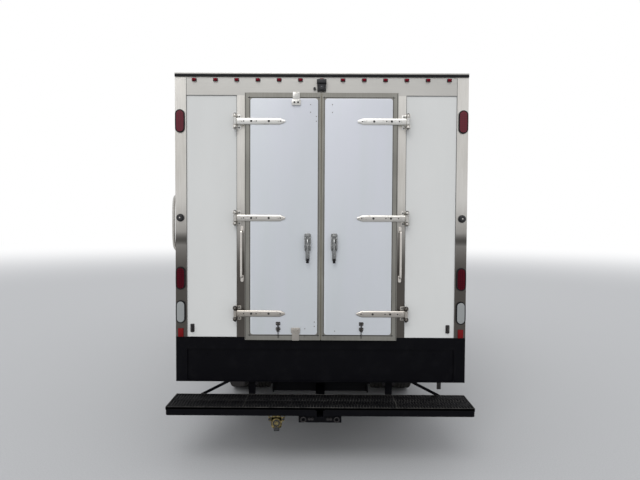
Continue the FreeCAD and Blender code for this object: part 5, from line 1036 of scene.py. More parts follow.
# Wheels: pressed steel discs, dished, with eight hand holes, welded into rolled
# rims and painted white. Brake dust has browned them between the hand holes.
rim_white = clouded("white_wheel_enamel", "#C9CAC9", (16, 7, 0.65), ("#C8C9C7", "#7C746A"),
                    reach=(0.42, 0.72, 0, 0.75), roughness=0.38, coat_weight=0.2)
cast_iron = clouded("painted_cast_iron", "#232323", (12, 8, 0.7), ("#222224", "#5A4334"),
                    (260, 5, 0.3, 0.0015), (0.5, 0.75, 0, 0.8), roughness=0.6, metallic=0.3)
axle_height = 0.406
bead_radius = 0.247
rim_half_width = 0.093
disc_offset = 0.130
hole_circle = 0.203
hole_radius = 0.025
hole_count = 8
stud_circle = 0.138


def turned(profile, steps, closed=True):
    """An outline of (station, radius) points turned about the X axis."""
    made = bmesh.new()
    corners = [made.verts.new((x, 0, radius)) for x, radius in profile]
    for one, other in zip(corners, corners[1:] + corners[:1] if closed else corners[1:]):
        made.edges.new((one, other))
    bmesh.ops.spin(made, geom=list(made.verts) + list(made.edges), cent=(0, 0, 0), axis=(1, 0, 0),
                   angle=math.tau, steps=steps, use_merge=True)
    bmesh.ops.remove_doubles(made, verts=made.verts, dist=1e-6)
    return made


def spun(mesh, profile, steps, closed=True):
    """Turn an outline about the X axis and pour it into a mesh."""
    pour(mesh, turned(profile, steps, closed))


def disc(mesh):
    """The dished disc: one sector with its hole, turned about the axle."""
    inner, outer = hole_circle - 0.035, bead_radius - 0.009
    for number in range(hole_count):
        made = bmesh.new()
        bmesh.ops.create_grid(made, x_segments=8, y_segments=8, size=1)
        gone = [face for face in made.faces if max(abs(c) for c in face.calc_center_median().xy) < 0.5]
        bmesh.ops.delete(made, geom=gone, context="FACES")
        for corner in made.verts:
            u, v = corner.co.x, corner.co.y
            reach = max(abs(u), abs(v))
            angle = math.atan2(v, u)
            radial, round_about = v * 0.035, u * math.pi / hole_count * hole_circle
            if reach < 0.99:
                share = (reach - 0.5) / 0.5
                radial = radial * share + math.sin(angle) * hole_radius * (1 - share)
                round_about = round_about * share + math.cos(angle) * hole_radius * (1 - share)
            radius = hole_circle + radial
            turn = round_about / hole_circle + (number + 0.5) * math.tau / hole_count
            depth = 0.5 - 0.5 * math.cos(math.pi * min(1, max(0, (radius - 0.160) / (outer - 0.160))))
            corner.co = (disc_offset - 0.0725 * depth, radius * math.sin(turn), radius * math.cos(turn))
        pour(mesh, made)
    bmesh.ops.remove_doubles(mesh, verts=mesh.verts, dist=0.0004)
    spun(mesh, [(disc_offset, 0.100), (disc_offset, 0.150), (disc_offset - 0.0004, inner)], 64, False)
    bmesh.ops.remove_doubles(mesh, verts=mesh.verts, dist=0.0012)


def rim(mesh):
    """The rolled rim: flanges, bead seats and the drop centre."""
    half, seat = rim_half_width, bead_radius
    spun(mesh, [(-half, seat + 0.013), (-half + 0.004, seat + 0.013), (-half + 0.007, seat + 0.006),
                (-half + 0.012, seat), (-0.030, seat - 0.004), (-0.018, seat - 0.020),
                (0.018, seat - 0.020), (0.030, seat - 0.004), (half - 0.012, seat),
                (half - 0.007, seat + 0.006), (half - 0.004, seat + 0.013), (half, seat + 0.013),
                (half, seat + 0.006), (half - 0.004, seat - 0.004), (0.034, seat - 0.011),
                (0.020, seat - 0.027), (-0.020, seat - 0.027), (-0.034, seat - 0.011),
                (-half + 0.004, seat - 0.004), (-half, seat + 0.006)], 72)


def placed(mesh, x, y, way):
    """Carry a wheel mesh made at the origin to its place on the axle."""
    if way < 0:
        bmesh.ops.scale(mesh, vec=(-1, 1, 1), verts=mesh.verts)
    bmesh.ops.translate(mesh, verts=mesh.verts, vec=(x, y, axle_height))
    return mesh


def nuts(mesh, face, count):
    """Wheel nuts on the stud circle, with the stud ends standing through."""
    for number in range(count):
        turn = (number + 0.5) * math.tau / count
        x, y = stud_circle * math.sin(turn), stud_circle * math.cos(turn)
        rod(mesh, (face, x, y), (face + 0.004, x, y), 0.021, 16)
        rod(mesh, (face + 0.004, x, y), (face + 0.024, x, y), 0.0175, 6, 0.015)
        rod(mesh, (face + 0.024, x, y), (face + 0.032, x, y), 0.009, 10)


front_x, dual_x, dual_half = 0.815, 0.825, 0.130
front_y = (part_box("front_tyre_right")[0].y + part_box("front_tyre_right")[1].y) / 2
rear_axle_y = (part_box("rear_outer_tyre_right")[0].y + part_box("rear_outer_tyre_right")[1].y) / 2
for side, sign in SIDES:
    for label, x, y, body, outward in (("front", front_x, front_y, "front_wheel_" + side, 1),
                                       ("rear_inner", dual_x - dual_half, rear_axle_y,
                                        "rear_wheels_" + side, 1),
                                       ("rear_outer", dual_x + dual_half, rear_axle_y,
                                        "rear_wheels_" + side, -1)):
        mesh = bmesh.new()
        disc(mesh)
        plate = piece("%s_disc_%s" % (label, side), placed(mesh, sign * x, y, sign * outward), rim_white,
                      body, 40)
        wall = plate.modifiers.new("Plate", "SOLIDIFY")
        wall.thickness = 0.009
        wall.offset = -1
        mesh = bmesh.new()
        rim(mesh)
        barrel = piece("%s_rim_%s" % (label, side), placed(mesh, sign * x, y, sign * outward), rim_white,
                       body, 40)
        if label != "rear_inner":
            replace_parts(barrel, "front_wheel_" + side if label == "front" else "rear_wheels_" + side)

# Hubs and drums: turned castings. The front hub ends in a pressed cap, and
# the rear one in the flange of its drive shaft with eight bolts.
for side, sign in SIDES:
    mesh = bmesh.new()
    spun(mesh, [(-0.036, 0.034), (-0.036, 0.178), (-0.030, 0.182), (0.040, 0.182), (0.044, 0.176),
                (0.050, 0.172), (0.052, 0.112), (disc_offset + 0.003, 0.112),
                (disc_offset + 0.006, 0.108), (disc_offset + 0.012, 0.070), (disc_offset + 0.026, 0.066),
                (disc_offset + 0.031, 0.058),
                (disc_offset + 0.031, 0.034)], 48)
    nuts(mesh, disc_offset, 6)
    for number in range(6):
        turn = number * math.tau / 6
        screw(mesh, (disc_offset + 0.007, 0.090 * math.sin(turn), 0.090 * math.cos(turn)), (1, 0, 0), 0.016,
              0.008, 6)
    piece("front_hub_" + side, placed(mesh, sign * front_x, front_y, sign), cast_iron,
          "front_wheel_" + side)
    mesh = bmesh.new()
    spun(mesh, [(disc_offset + 0.030, 0.001), (disc_offset + 0.030, 0.056), (disc_offset + 0.034, 0.056),
                (disc_offset + 0.050, 0.052), (disc_offset + 0.054, 0.044), (disc_offset + 0.056, 0.001)],
                40)
    piece("front_hub_cap_" + side, placed(mesh, sign * front_x, front_y, sign), plated,
          "front_wheel_" + side)
    mesh = bmesh.new()
    spun(mesh, [(-0.220, 0.050), (-0.220, 0.178), (-0.214, 0.182), (-0.136, 0.182), (-0.130, 0.172),
                (-0.128, 0.112), (0.013, 0.112), (0.016, 0.108), (0.020, 0.082), (0.034, 0.080),
                (0.036, 0.076), (0.038, 0.020), (0.034, 0.002), (0.030, 0.002),
                (0.030, 0.050)], 48)
    nuts(mesh, 0.010, 6)
    for number in range(8):
        turn = number * math.tau / 8
        screw(mesh, (0.0355, 0.060 * math.sin(turn), 0.060 * math.cos(turn)), (1, 0, 0), 0.017, 0.009, 6)
    piece("rear_hub_" + side, placed(mesh, sign * dual_x, rear_axle_y, sign), cast_iron,
          "rear_wheels_" + side)

# Tyres: moulded rubber with four straight grooves, notched ribs and deep
# shoulder lugs. The sidewalls carry a raised ring and are grey with dust.
tyre_rubber = clouded("weathered_tyre_rubber", "#1B1B1B", (22, 7, 0.65), ("#121213", "#37352F"),
                      (420, 3, 0.25, 0.001), roughness=0.8)
tread_radius = 0.406
groove = 0.011
lug_count = 60
HALF_TREAD = ((0.0, 0), (0.012, 0), (0.014, 1), (0.021, 1), (0.023, 0), (0.050, 0), (0.052, 1), (0.059, 1),
              (0.061, 0), (0.084, 0))
SIDEWALL = ((0.092, 0.399), (0.0985, 0.388), (0.103, 0.374), (0.1085, 0.356), (0.1125, 0.338),
            (0.113, 0.322), (0.1105, 0.302), (0.1115, 0.300), (0.1115, 0.294), (0.1065, 0.291),
            (0.099, 0.274), (0.0905, 0.262),
            (0.0865, 0.249))


def tyre(mesh):
    """Spin the tyre's section, then press the notches into ribs and lugs."""
    half = [(x, tread_radius - 0.0035 * (x / 0.084) ** 2 - groove * deep) for x, deep in HALF_TREAD]
    half += SIDEWALL
    section = [(-x, radius) for x, radius in reversed(half[1:])] + half
    steps = lug_count * 4
    made = turned(section, steps, False)
    for corner in made.verts:
        radius = math.hypot(corner.co.y, corner.co.z)
        spot = round(math.atan2(corner.co.y, corner.co.z) / math.tau * steps) % 4
        reach = abs(corner.co.x)
        notch = 0
        if spot in (2, 3):
            if 0.060 < reach < 0.104 and radius > 0.370:
                notch = 0.010 if radius > 0.385 else 0.005
            elif 0.022 < reach < 0.051 and radius > 0.400 and spot == 2:
                notch = 0.004
        if notch:
            corner.co.y *= (radius - notch) / radius
            corner.co.z *= (radius - notch) / radius
    pour(mesh, made)


for side, sign in SIDES:
    for label, x, y, body in (("front_tyre_", front_x, front_y, "front_wheel_"),
                              ("rear_inner_tyre_", dual_x - dual_half, rear_axle_y, "rear_wheels_"),
                              ("rear_outer_tyre_", dual_x + dual_half, rear_axle_y, "rear_wheels_")):
        mesh = bmesh.new()
        tyre(mesh)
        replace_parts(piece(label + "casing_" + side, placed(mesh, sign * x, y, sign), tyre_rubber,
                          body + side, 50), label + side)


# Chassis: rails and crossmembers in black enamel, cast axles, dark spring
# leaves, and the U-bolts that hold each spring pack to its axle.
for label in ("frame_rails", "crossmembers", "fuel_tank"):
    dress(label, black_enamel)
for label in ("front_axle", "rear_axle", "steering_knuckle_right", "steering_knuckle_left", "leaf_springs",
              "propeller_shaft"):
    dress(label, cast_iron)
dress("mud_flaps", seal_rubber)
dress("battery_box", black_abs)
clamps, nuts_under = bmesh.new(), bmesh.new()
for axle_y, top, bottom in ((front_y, 0.434, 0.297), (rear_axle_y, 0.521, 0.338)):
    for x in (-0.415, 0.415):
        for y in (axle_y - 0.052, axle_y + 0.052):
            bent(clamps, [(x - 0.043, y, bottom), (x - 0.043, y, top - 0.01), (x - 0.036, y, top + 0.009),
                          (x + 0.036, y, top + 0.009), (x + 0.043, y, top - 0.01), (x + 0.043, y, bottom)],
                          0.007)
            for offset in (-0.043, 0.043):
                screw(nuts_under, (x + offset, y, bottom + 0.014), (0, 0, -1), 0.020, 0.012, 6)
        box(clamps, (x - 0.052, axle_y - 0.068, bottom + 0.012),
            (x + 0.052, axle_y + 0.068, bottom + 0.022), 0.002)
        for y in (axle_y - 0.36, axle_y + 0.36):
            for way in (-1, 1):
                box(clamps, (x + way * 0.039, y - 0.016, top + 0.002),
                    (x + way * 0.0355, y + 0.016, top + 0.066), 0.001, 1)
piece("spring_u_bolts", clamps, dark_steel, "chassis")
piece("spring_clamp_nuts", nuts_under, plated, "chassis")

# Exhaust in aluminised steel gone brown with heat, with a band round the
# muffler at each hanger and raised end seams.
aluminised = clouded("aluminised_steel", "#6E6C68", (9, 8, 0.68), ("#7D7B77", "#4B3527"),
                     (380, 4, 0.2, 0.001), (0.4, 0.72), metallic=0.75, roughness=0.5)
dress("exhaust", aluminised)


def set_down(mesh, made, spot, *turns):
    """Turn a small mesh by degrees about axes, carry it to its spot, pour it."""
    for degrees, axis in turns:
        bmesh.ops.rotate(made, verts=made.verts, matrix=Matrix.Rotation(math.radians(degrees), 3, axis))
    bmesh.ops.translate(made, verts=made.verts, vec=spot)
    pour(mesh, made)


mesh = bmesh.new()
for y, width, rise in ((0.040, 0.012, 0.004), (0.200, 0.034, 0.003), (0.700, 0.034, 0.003),
                       (0.858, 0.012, 0.004)):
    half = width / 2
    band = turned([(-half, 0.118), (-half, 0.120 + rise), (half, 0.120 + rise), (half, 0.118)], 48)
    set_down(mesh, band, (0.64, y, 0.56), (90, "Z"))
piece("muffler_bands", mesh, aluminised, "chassis")

# Fuel tank and battery box: two clamped straps and a domed filler cap on the
# tank, and a ribbed outer face with rubber latches on the box.
def rounded(corners, normal, reach, radius, steps=5):
    """An outline moved outwards by a distance, with each corner curved."""
    corners, normal = [Vector(c) for c in corners], Vector(normal).normalized()
    centre = sum(corners, Vector()) / len(corners)
    spots = []
    for number, corner in enumerate(corners):
        before = (corner - corners[number - 1]).normalized()
        after = (corners[(number + 1) % len(corners)] - corner).normalized()
        side = [way.cross(normal) for way in (before, after)]
        if side[0].dot(corner - centre) < 0:
            side = [-way for way in side]
        moved = corner + (side[0] + side[1]) * (reach / (1 + side[0].dot(side[1])))
        bend = max(0.002, radius + reach)
        for step in range(steps + 1):
            share = step / steps
            spots.append((moved - before * bend) * (1 - share) ** 2 + moved * (2 * share * (1 - share))
                         + (moved + after * bend) * share ** 2)
    return spots


def ring(mesh, corners, normal, inner, outer, low, high, radius):
    """A closed band round an outline, between two reaches and two heights."""
    lift = Vector(normal).normalized()
    loops = []
    for reach, rise in ((outer, low), (outer, high), (inner, high), (inner, low)):
        loops.append([mesh.verts.new(spot + lift * rise)
                      for spot in rounded(corners, normal, reach, radius)])
    for one, other in zip(loops, loops[1:] + loops[:1]):
        for number in range(len(one)):
            mesh.faces.new((one[number - 1], one[number], other[number], other[number - 1]))


mesh = bmesh.new()
tank_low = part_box("fuel_tank")[0]
for y in (0.84, 1.34):
    ring(mesh, [(tank_low.x, y, 0.42), (-0.465, y, 0.42), (-0.465, y, 0.77), (tank_low.x, y, 0.77)],
         (0, 1, 0), -0.002, 0.003, 0, 0.045, 0.062)
    rod(mesh, (tank_low.x - 0.004, y + 0.0225, 0.585), (tank_low.x - 0.004, y + 0.0225, 0.665), 0.006, 8)
piece("tank_straps", mesh, plated, "chassis")
mesh = bmesh.new()
cap = turned([(0, 0.001), (0, 0.044), (0.008, 0.046), (0.022, 0.044), (0.027, 0.036), (0.029, 0.001)], 40)
set_down(mesh, cap, (tank_low.x, 1.45, 0.66), (180, "Z"))
piece("tank_filler_cap", mesh, black_abs, "chassis")
mesh = bmesh.new()
battery_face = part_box("battery_box")[1].x
for number in range(9):
    y = 0.985 + number * 0.065
    box(mesh, (battery_face - 0.002, y - 0.008, 0.480), (battery_face + 0.004, y + 0.008, 0.690), 0.003)
box(mesh, (battery_face - 0.004, 0.940, 0.700), (battery_face + 0.007, 1.549, 0.712), 0.003)
for y in (1.06, 1.43):
    box(mesh, (battery_face + 0.002, y - 0.014, 0.650), (battery_face + 0.013, y + 0.014, 0.745), 0.004)
piece("battery_box_ribs", mesh, black_abs, "chassis")

# Flap hangers and propeller shaft joints.
mesh = bmesh.new()
flap_low, flap_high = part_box("mud_flaps")
for sign in (-1, 1):
    for offset in (0.06, 0.23, 0.40):
        screw(mesh, (sign * (flap_high.x - offset), flap_low.y + 0.008, 0.80), (0, -1, 0), 0.016, 0.006, 6)
piece("flap_bolts", mesh, plated, "chassis")
mesh = bmesh.new()
for share in (0.02, 0.98):
    joint = turned([(-0.030, 0.040), (-0.030, 0.058), (-0.018, 0.062), (0.018, 0.062), (0.030, 0.058),
                    (0.030, 0.040)], 24)
    set_down(mesh, joint, Vector((0, 1.45, 0.614)).lerp(Vector((0, -1.05, 0.413)), share), (90, "Z"))
piece("shaft_couplings", mesh, cast_iron, "chassis")

# Engine: iron block and head with a rocker cover, sump, manifolds, belt drive
# and a ribbed gearbox, all seen from below or when the cab is tilted.
mesh = bmesh.new()
box(mesh, (-0.19, 2.10, 0.600), (0.19, 2.86, 0.860), 0.012)
box(mesh, (-0.16, 2.12, 0.860), (0.16, 2.84, 0.960), 0.006)
for number in range(7):
    y = 2.17 + number * 0.105
    for sign in (-1, 1):
        box(mesh, (sign * 0.188, y - 0.006, 0.615), (sign * 0.199, y + 0.006, 0.845), 0.003)
piece("engine_castings", mesh, cast_iron, "chassis")
mesh = bmesh.new()
slab(mesh, (-0.185, 2.14, 0.588), (0.185, 2.84, 0.600), 0.02, 2, 0.002)
slab(mesh, (-0.150, 2.20, 0.452), (0.150, 2.66, 0.590), 0.04, 2, 0.012)
slab(mesh, (-0.135, 2.16, 0.958), (0.135, 2.82, 1.052), 0.04, 2, 0.018)
for number in range(8):
    for sign in (-1, 1):
        screw(mesh, (sign * 0.172, 2.18 + number * 0.088, 0.589), (0, 0, -1), 0.014, 0.007, 6)
for y in (2.28, 2.49, 2.70):
    screw(mesh, (0, y, 1.052), (0, 0, 1), 0.024, 0.012, 6)
rod(mesh, (-0.07, 2.38, 1.045), (-0.07, 2.38, 1.080), 0.034, 20)
piece("sump_and_rocker_cover", mesh, black_enamel, "chassis")
mesh = bmesh.new()
for number in range(4):
    y = 2.23 + number * 0.165
    bent(mesh, [(-0.158, y, 0.915), (-0.215, y, 0.915), (-0.245, y + 0.01, 0.895), (-0.250, 2.48, 0.850)],
         0.021)
bent(mesh, [(-0.252, 2.20, 0.848), (-0.252, 2.40, 0.842), (-0.252, 2.62, 0.842), (-0.252, 2.78, 0.848)],
     0.030)
bent(mesh, [(-0.252, 2.24, 0.845), (-0.252, 2.16, 0.80), (-0.24, 2.08, 0.70), (-0.22, 1.96, 0.62)], 0.029)
piece("exhaust_manifold", mesh, aluminised, "chassis")
alloy = clouded("sand_cast_alloy", "#86878A", (7, 6), ("#8D8E90", "#4E4A44"), (300, 5, 0.3, 0.001),
                metallic=0.7, roughness=0.55)
mesh = bmesh.new()
for number in range(4):
    y = 2.23 + number * 0.165
    bent(mesh, [(0.158, y, 0.920), (0.205, y, 0.925), (0.235, y, 0.945), (0.250, y, 0.985)], 0.022)
slab(mesh, (0.205, 2.18, 0.965), (0.300, 2.80, 1.040), 0.03, 2, 0.012)
for depth, radius in ((2.085, 0.205), (2.015, 0.190)):
    flange = turned([(-0.045, radius - 0.03), (-0.045, radius), (0.035, radius), (0.035, radius - 0.03)],
                    40)
    set_down(mesh, flange, (0, depth, 0.665), (90, "Z"))
box(mesh, (-0.145, 1.600, 0.500), (0.145, 2.06, 0.760), 0.035, 4)
for number in range(5):
    y = 1.66 + number * 0.075
    box(mesh, (-0.152, y - 0.006, 0.520), (0.152, y + 0.006, 0.740), 0.006)
rod(mesh, (0, 1.61, 0.614), (0, 1.484, 0.614), 0.058, 28, 0.050)
rod(mesh, (0.235, 2.74, 0.760), (0.235, 2.88, 0.760), 0.066, 28)
piece("gearbox_and_intake", mesh, alloy, "chassis")
mesh = bmesh.new()
for x, z, radius in ((0, 0.640, 0.085), (0, 0.815, 0.062), (0.235, 0.760, 0.036)):
    rod(mesh, (x, 2.862, z), (x, 2.900, z), radius, 36)
    rod(mesh, (x, 2.900, z), (x, 2.906, z), radius + 0.006, 36)
    rod(mesh, (x, 2.876, z), (x, 2.882, z), radius + 0.006, 36)
for number in range(7):
    made = bmesh.new()
    box(made, (-0.030, -0.003, 0.040), (0.030, 0.003, 0.195), 0.002, 1)
    set_down(mesh, made, (0, 2.922, 0.815), (28, "Z"), (number * 360 / 7, "Y"))
belt = [(-0.088, 2.886, 0.640), (0.010, 2.886, 0.552), (0.275, 2.886, 0.735), (0.262, 2.886, 0.800),
        (0.010, 2.886, 0.880), (-0.060, 2.886, 0.835)]
ring(mesh, belt, (0, 1, 0), -0.004, 0.004, 0, 0.014, 0.030)
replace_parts(piece("belt_drive_and_fan", mesh, black_abs, "chassis"), "engine_block")

# Cab shell: pressed steel in white enamel, a little duller and greyer low
# down. Each packed panel keeps its shape and gets folded, rounded edges.
cab_white = Finish("white_cab_enamel", "#D2D4D5", roughness=0.3, coat_weight=0.35, coat_roughness=0.1)
foot = cab_white.spread(cab_white.axis("Z"), 1.25, 0.45, 0, 0.8, True)
grime_and_reflection = cab_white.calc("MULTIPLY", foot, cab_white.spread(cab_white.noise(14, 8, 0.7), 0.3, 1.0, 0.1, 0.7))
cab_white.paint(grime_and_reflection, "#D2D4D5", "#8E8A82")
cab_white.set("Roughness", cab_white.spread(grime_and_reflection, 0, 1, 0.28, 0.7))
cab_white.bump(cab_white.noise(180, 2), 0.05, 0.001)
for label, body in (("cab_front_panel", "cab"), ("cab_roof", "cab"), ("cab_side_frames", "cab"),
                    ("cab_back_wall", "cab"), ("cab_door_right", "cab_door_right"),
                    ("cab_door_left", "cab_door_left")):
    skin = label.replace("cab_", "cab_skin_")
    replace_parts(refined(label, skin, cab_white, body, 0.0035), label)

# Bumper: a deep pressed bar, with a row of air slots and two recesses that
# hold the fog lamps cut into its face.
made = packed("front_bumper")
bmesh.ops.dissolve_limit(made, angle_limit=math.radians(0.5), verts=made.verts, edges=made.edges)
bumper_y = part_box("front_bumper")[1].y
slots = [(-0.40 + 0.165 * n, -0.26 + 0.165 * n, 0.440, 0.475) for n in range(5)]
fogs = [(-0.73, -0.59, 0.455, 0.545), (0.59, 0.73, 0.455, 0.545)]
for low_x, high_x, low_z, high_z in slots + fogs:
    for spot, way in (((low_x, 0, 0), (1, 0, 0)), ((high_x, 0, 0), (1, 0, 0)), ((0, 0, low_z), (0, 0, 1)),
                      ((0, 0, high_z), (0, 0, 1))):
        front = [face for face in made.faces if face.normal.y > 0.98
                 and face.verts[0].co.y > bumper_y - 0.01]
        geometry = front + list({edge for face in front for edge in face.edges})
        geometry += list({corner for face in front for corner in face.verts})
        bmesh.ops.bisect_plane(made, geom=geometry, plane_co=spot, plane_no=way)
    inside = [face for face in made.faces if face.normal.y > 0.98 and face.verts[0].co.y > bumper_y - 0.01
              and low_x < face.calc_center_median().x < high_x
              and low_z < face.calc_center_median().z < high_z]
    bmesh.ops.inset_region(made, faces=inside, thickness=0.004, depth=-0.022)
bar = piece("bumper_bar", made, cab_white, "chassis", 35)
rolled(bar, 0.004, 40)
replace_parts(bar, "front_bumper")
moulded_lens = Finish("moulded_clear_lens", "#E6EAEA", transmission_weight=0.9, roughness=0.06, ior=1.45)
moulded_lens.bump(moulded_lens.waves(22, "X"), 0.15, 0.002)
lenses, dishes, grilles = bmesh.new(), bmesh.new(), bmesh.new()
for low_x, high_x, low_z, high_z in slots:
    box(grilles, (low_x + 0.002, bumper_y - 0.0235, low_z + 0.002),
        (high_x - 0.002, bumper_y - 0.021, high_z - 0.002))


def dish(mesh, x, y, z, radius, depth):
    """A round reflector facing forward, with its bulb."""
    made = bmesh.new()
    profile = [(depth * deep, radius * wide) for deep, wide in (
        (0.1, 0.4), (0.35, 0.72), (0.7, 0.93), (1, 1), (1, 1.06), (0, 1.06))]
    spun(made, [(0, 0.008)] + profile, 40)
    rod(made, (0, 0, 0), (depth * 0.5, 0, 0), 0.008, 12, 0.006)
    set_down(mesh, made, (x, y, z), (90, "Z"))


for low_x, high_x, low_z, high_z in fogs:
    x, z = (low_x + high_x) / 2, (low_z + high_z) / 2
    dish(dishes, x, bumper_y - 0.0215, z, 0.034, 0.012)
    slab(lenses, (low_x + 0.006, bumper_y - 0.009, low_z + 0.006),
         (high_x - 0.006, bumper_y - 0.006, high_z - 0.006), 0.012, 1, 0.001)
piece("bumper_slot_mesh", grilles, black_abs, "chassis")
piece("fog_lamp_lenses", lenses, moulded_lens, "chassis")
piece("fog_lamp_dishes", dishes, chrome, "chassis")

# Headlamps: two reflectors side by side behind a moulded lens, amber corner
# lamps beside them and five amber clearance lamps along the brow.
lenses, dishes, bezels = bmesh.new(), bmesh.new(), bmesh.new()
face_front = 3.4095
headlamp_inner, headlamp_outer, headlamp_low, headlamp_high = 0.649, 0.871, 0.759, 0.881
for sign in (-1, 1):
    left, right = sorted((sign * headlamp_inner, sign * headlamp_outer))
    box(bezels, (left, face_front - 0.066, headlamp_low), (right, face_front - 0.056, headlamp_high), 0.002)
    slab(lenses, (left, face_front - 0.0065, headlamp_low), (right, face_front - 0.002, headlamp_high),
         0.014, 1, 0.001)
    for x in (sign * 0.706, sign * 0.814):
        dish(dishes, x, face_front - 0.056, 0.820, 0.049, 0.044)
    ring(bezels, [(left, face_front, headlamp_low), (right, face_front, headlamp_low),
                  (right, face_front, headlamp_high), (left, face_front, headlamp_high)],
         (0, 1, 0), -0.008, 0.008, -0.010, 0.003, 0.012)
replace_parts(piece("headlamp_lenses", lenses, moulded_lens, "cab"), "headlamps")
piece("headlamp_reflectors", dishes, chrome, "cab")
piece("headlamp_bezels", bezels, black_abs, "cab")
refined("headlamps", "corner_signals", amber_lens, "cab", 0.005,
        lambda spot: abs(spot.x) > 0.886 and spot.z < 1.0)
refined("headlamps", "brow_clearance_lamps", amber_lens, "cab", 0.006,
        lambda spot: spot.z > 2.0)
mesh = bmesh.new()
for x in (-0.64, -0.16, 0, 0.16, 0.64):
    slab(mesh, (x - 0.056, 2.930, 2.250), (x + 0.056, 3.004, 2.266), 0.012, 2, 0.002)
piece("brow_lamp_seats", mesh, seal_rubber, "cab")

# Grille: a black mesh screen behind the body-coloured slats.
screen_mesh = Finish("black_mesh_screen", "#0A0A0B", roughness=0.6)
wires = add(screen_mesh.tree, "ShaderNodeTexBrick", {
    "Vector": screen_mesh.place, "Scale": 60, "Mortar Size": 0.03, "Color1": linear("#030303"),
    "Color2": linear("#050505"), "Mortar": linear("#2B2B2D")}).outputs
screen_mesh.set("Base Color", wires["Color"])
screen_mesh.bump(wires["Fac"], 0.5, 0.002)
mesh = bmesh.new()
slab(mesh, (-0.613, face_front - 0.0340, 0.762), (0.613, face_front - 0.0325, 0.988), 0.012, 1, 0.0003)
piece("grille_screen", mesh, screen_mesh, "cab")

# Windows: green-tinted safety glass held in black rubber, with a fired black
# band at the edge of the windscreen, and two wipers parked below it.
safety_glass = Finish("tinted_safety_glass", "#DCE9E4", transmission_weight=1.0, roughness=0.0, ior=1.45)
safety_glass.set("Roughness", safety_glass.spread(safety_glass.noise(5, 6), 0.5, 0.9, 0, 0.06))
for label in ("cab_glass", "cab_door_glass_right", "cab_door_glass_left"):
    dress(label, safety_glass)
screen_way = Vector((0, 0.926, 0.377)).normalized()
screen_corners = [Vector(c) for c in ((-0.85, 3.354, 1.45), (0.85, 3.354, 1.45), (0.77, 3.094, 2.09),
                                      (-0.77, 3.094, 2.09))]
rear_corners = [(-0.48, 1.7645, 1.56), (0.48, 1.7645, 1.56), (0.48, 1.7645, 2.02), (-0.48, 1.7645, 2.02)]
mesh, band = bmesh.new(), bmesh.new()
ring(mesh, screen_corners, screen_way, -0.014, 0.012, 0.0002, 0.0125, 0.030)
ring(band, screen_corners, screen_way, -0.040, -0.006, 0.0002, 0.0010, 0.030)
ring(mesh, rear_corners, (0, -1, 0), -0.014, 0.012, -0.012, 0.003, 0.025)
rolled(piece("window_seals", mesh, seal_rubber, "cab"), 0.003)
piece("windscreen_fired_band", band, black_abs, "cab")
for side, sign in SIDES:
    corners = [(sign * 0.986, 2.21, 1.44), (sign * 0.986, 3.075, 1.44), (sign * 0.929, 2.845, 1.99),
               (sign * 0.929, 2.21, 1.99)]
    mesh = bmesh.new()
    ring(mesh, corners, (sign * 0.995, 0, 0.102), -0.013, 0.010, 0.0002, 0.0125, 0.022)
    rolled(piece("door_window_seal_" + side, mesh, seal_rubber, "cab_door_" + side), 0.003)


def on_screen(x, z, lift):
    """A point over the windscreen's plane at a height above the glass."""
    return Vector((x, 3.354 - (z - 1.45) * 0.40625, z)) + screen_way * lift


mesh, blades = bmesh.new(), bmesh.new()
for x in (0.62, -0.10):
    rod(mesh, on_screen(x, 1.415, 0.006), on_screen(x, 1.415, 0.036), 0.011, 16, 0.006)
    bent(mesh, [on_screen(x, 1.415, 0.030), on_screen(x - 0.10, 1.445, 0.034),
                on_screen(x - 0.32, 1.505, 0.030),
                on_screen(x - 0.40, 1.525, 0.024)], 0.005, 8)
    rod(mesh, on_screen(x - 0.66, 1.518, 0.019), on_screen(x - 0.14, 1.530, 0.019), 0.005, 6)
    rod(blades, on_screen(x - 0.67, 1.518, 0.006), on_screen(x - 0.13, 1.530, 0.006), 0.0055, 6)
piece("wiper_arms", mesh, black_abs, "cab")
piece("wiper_blades", blades, seal_rubber, "cab")
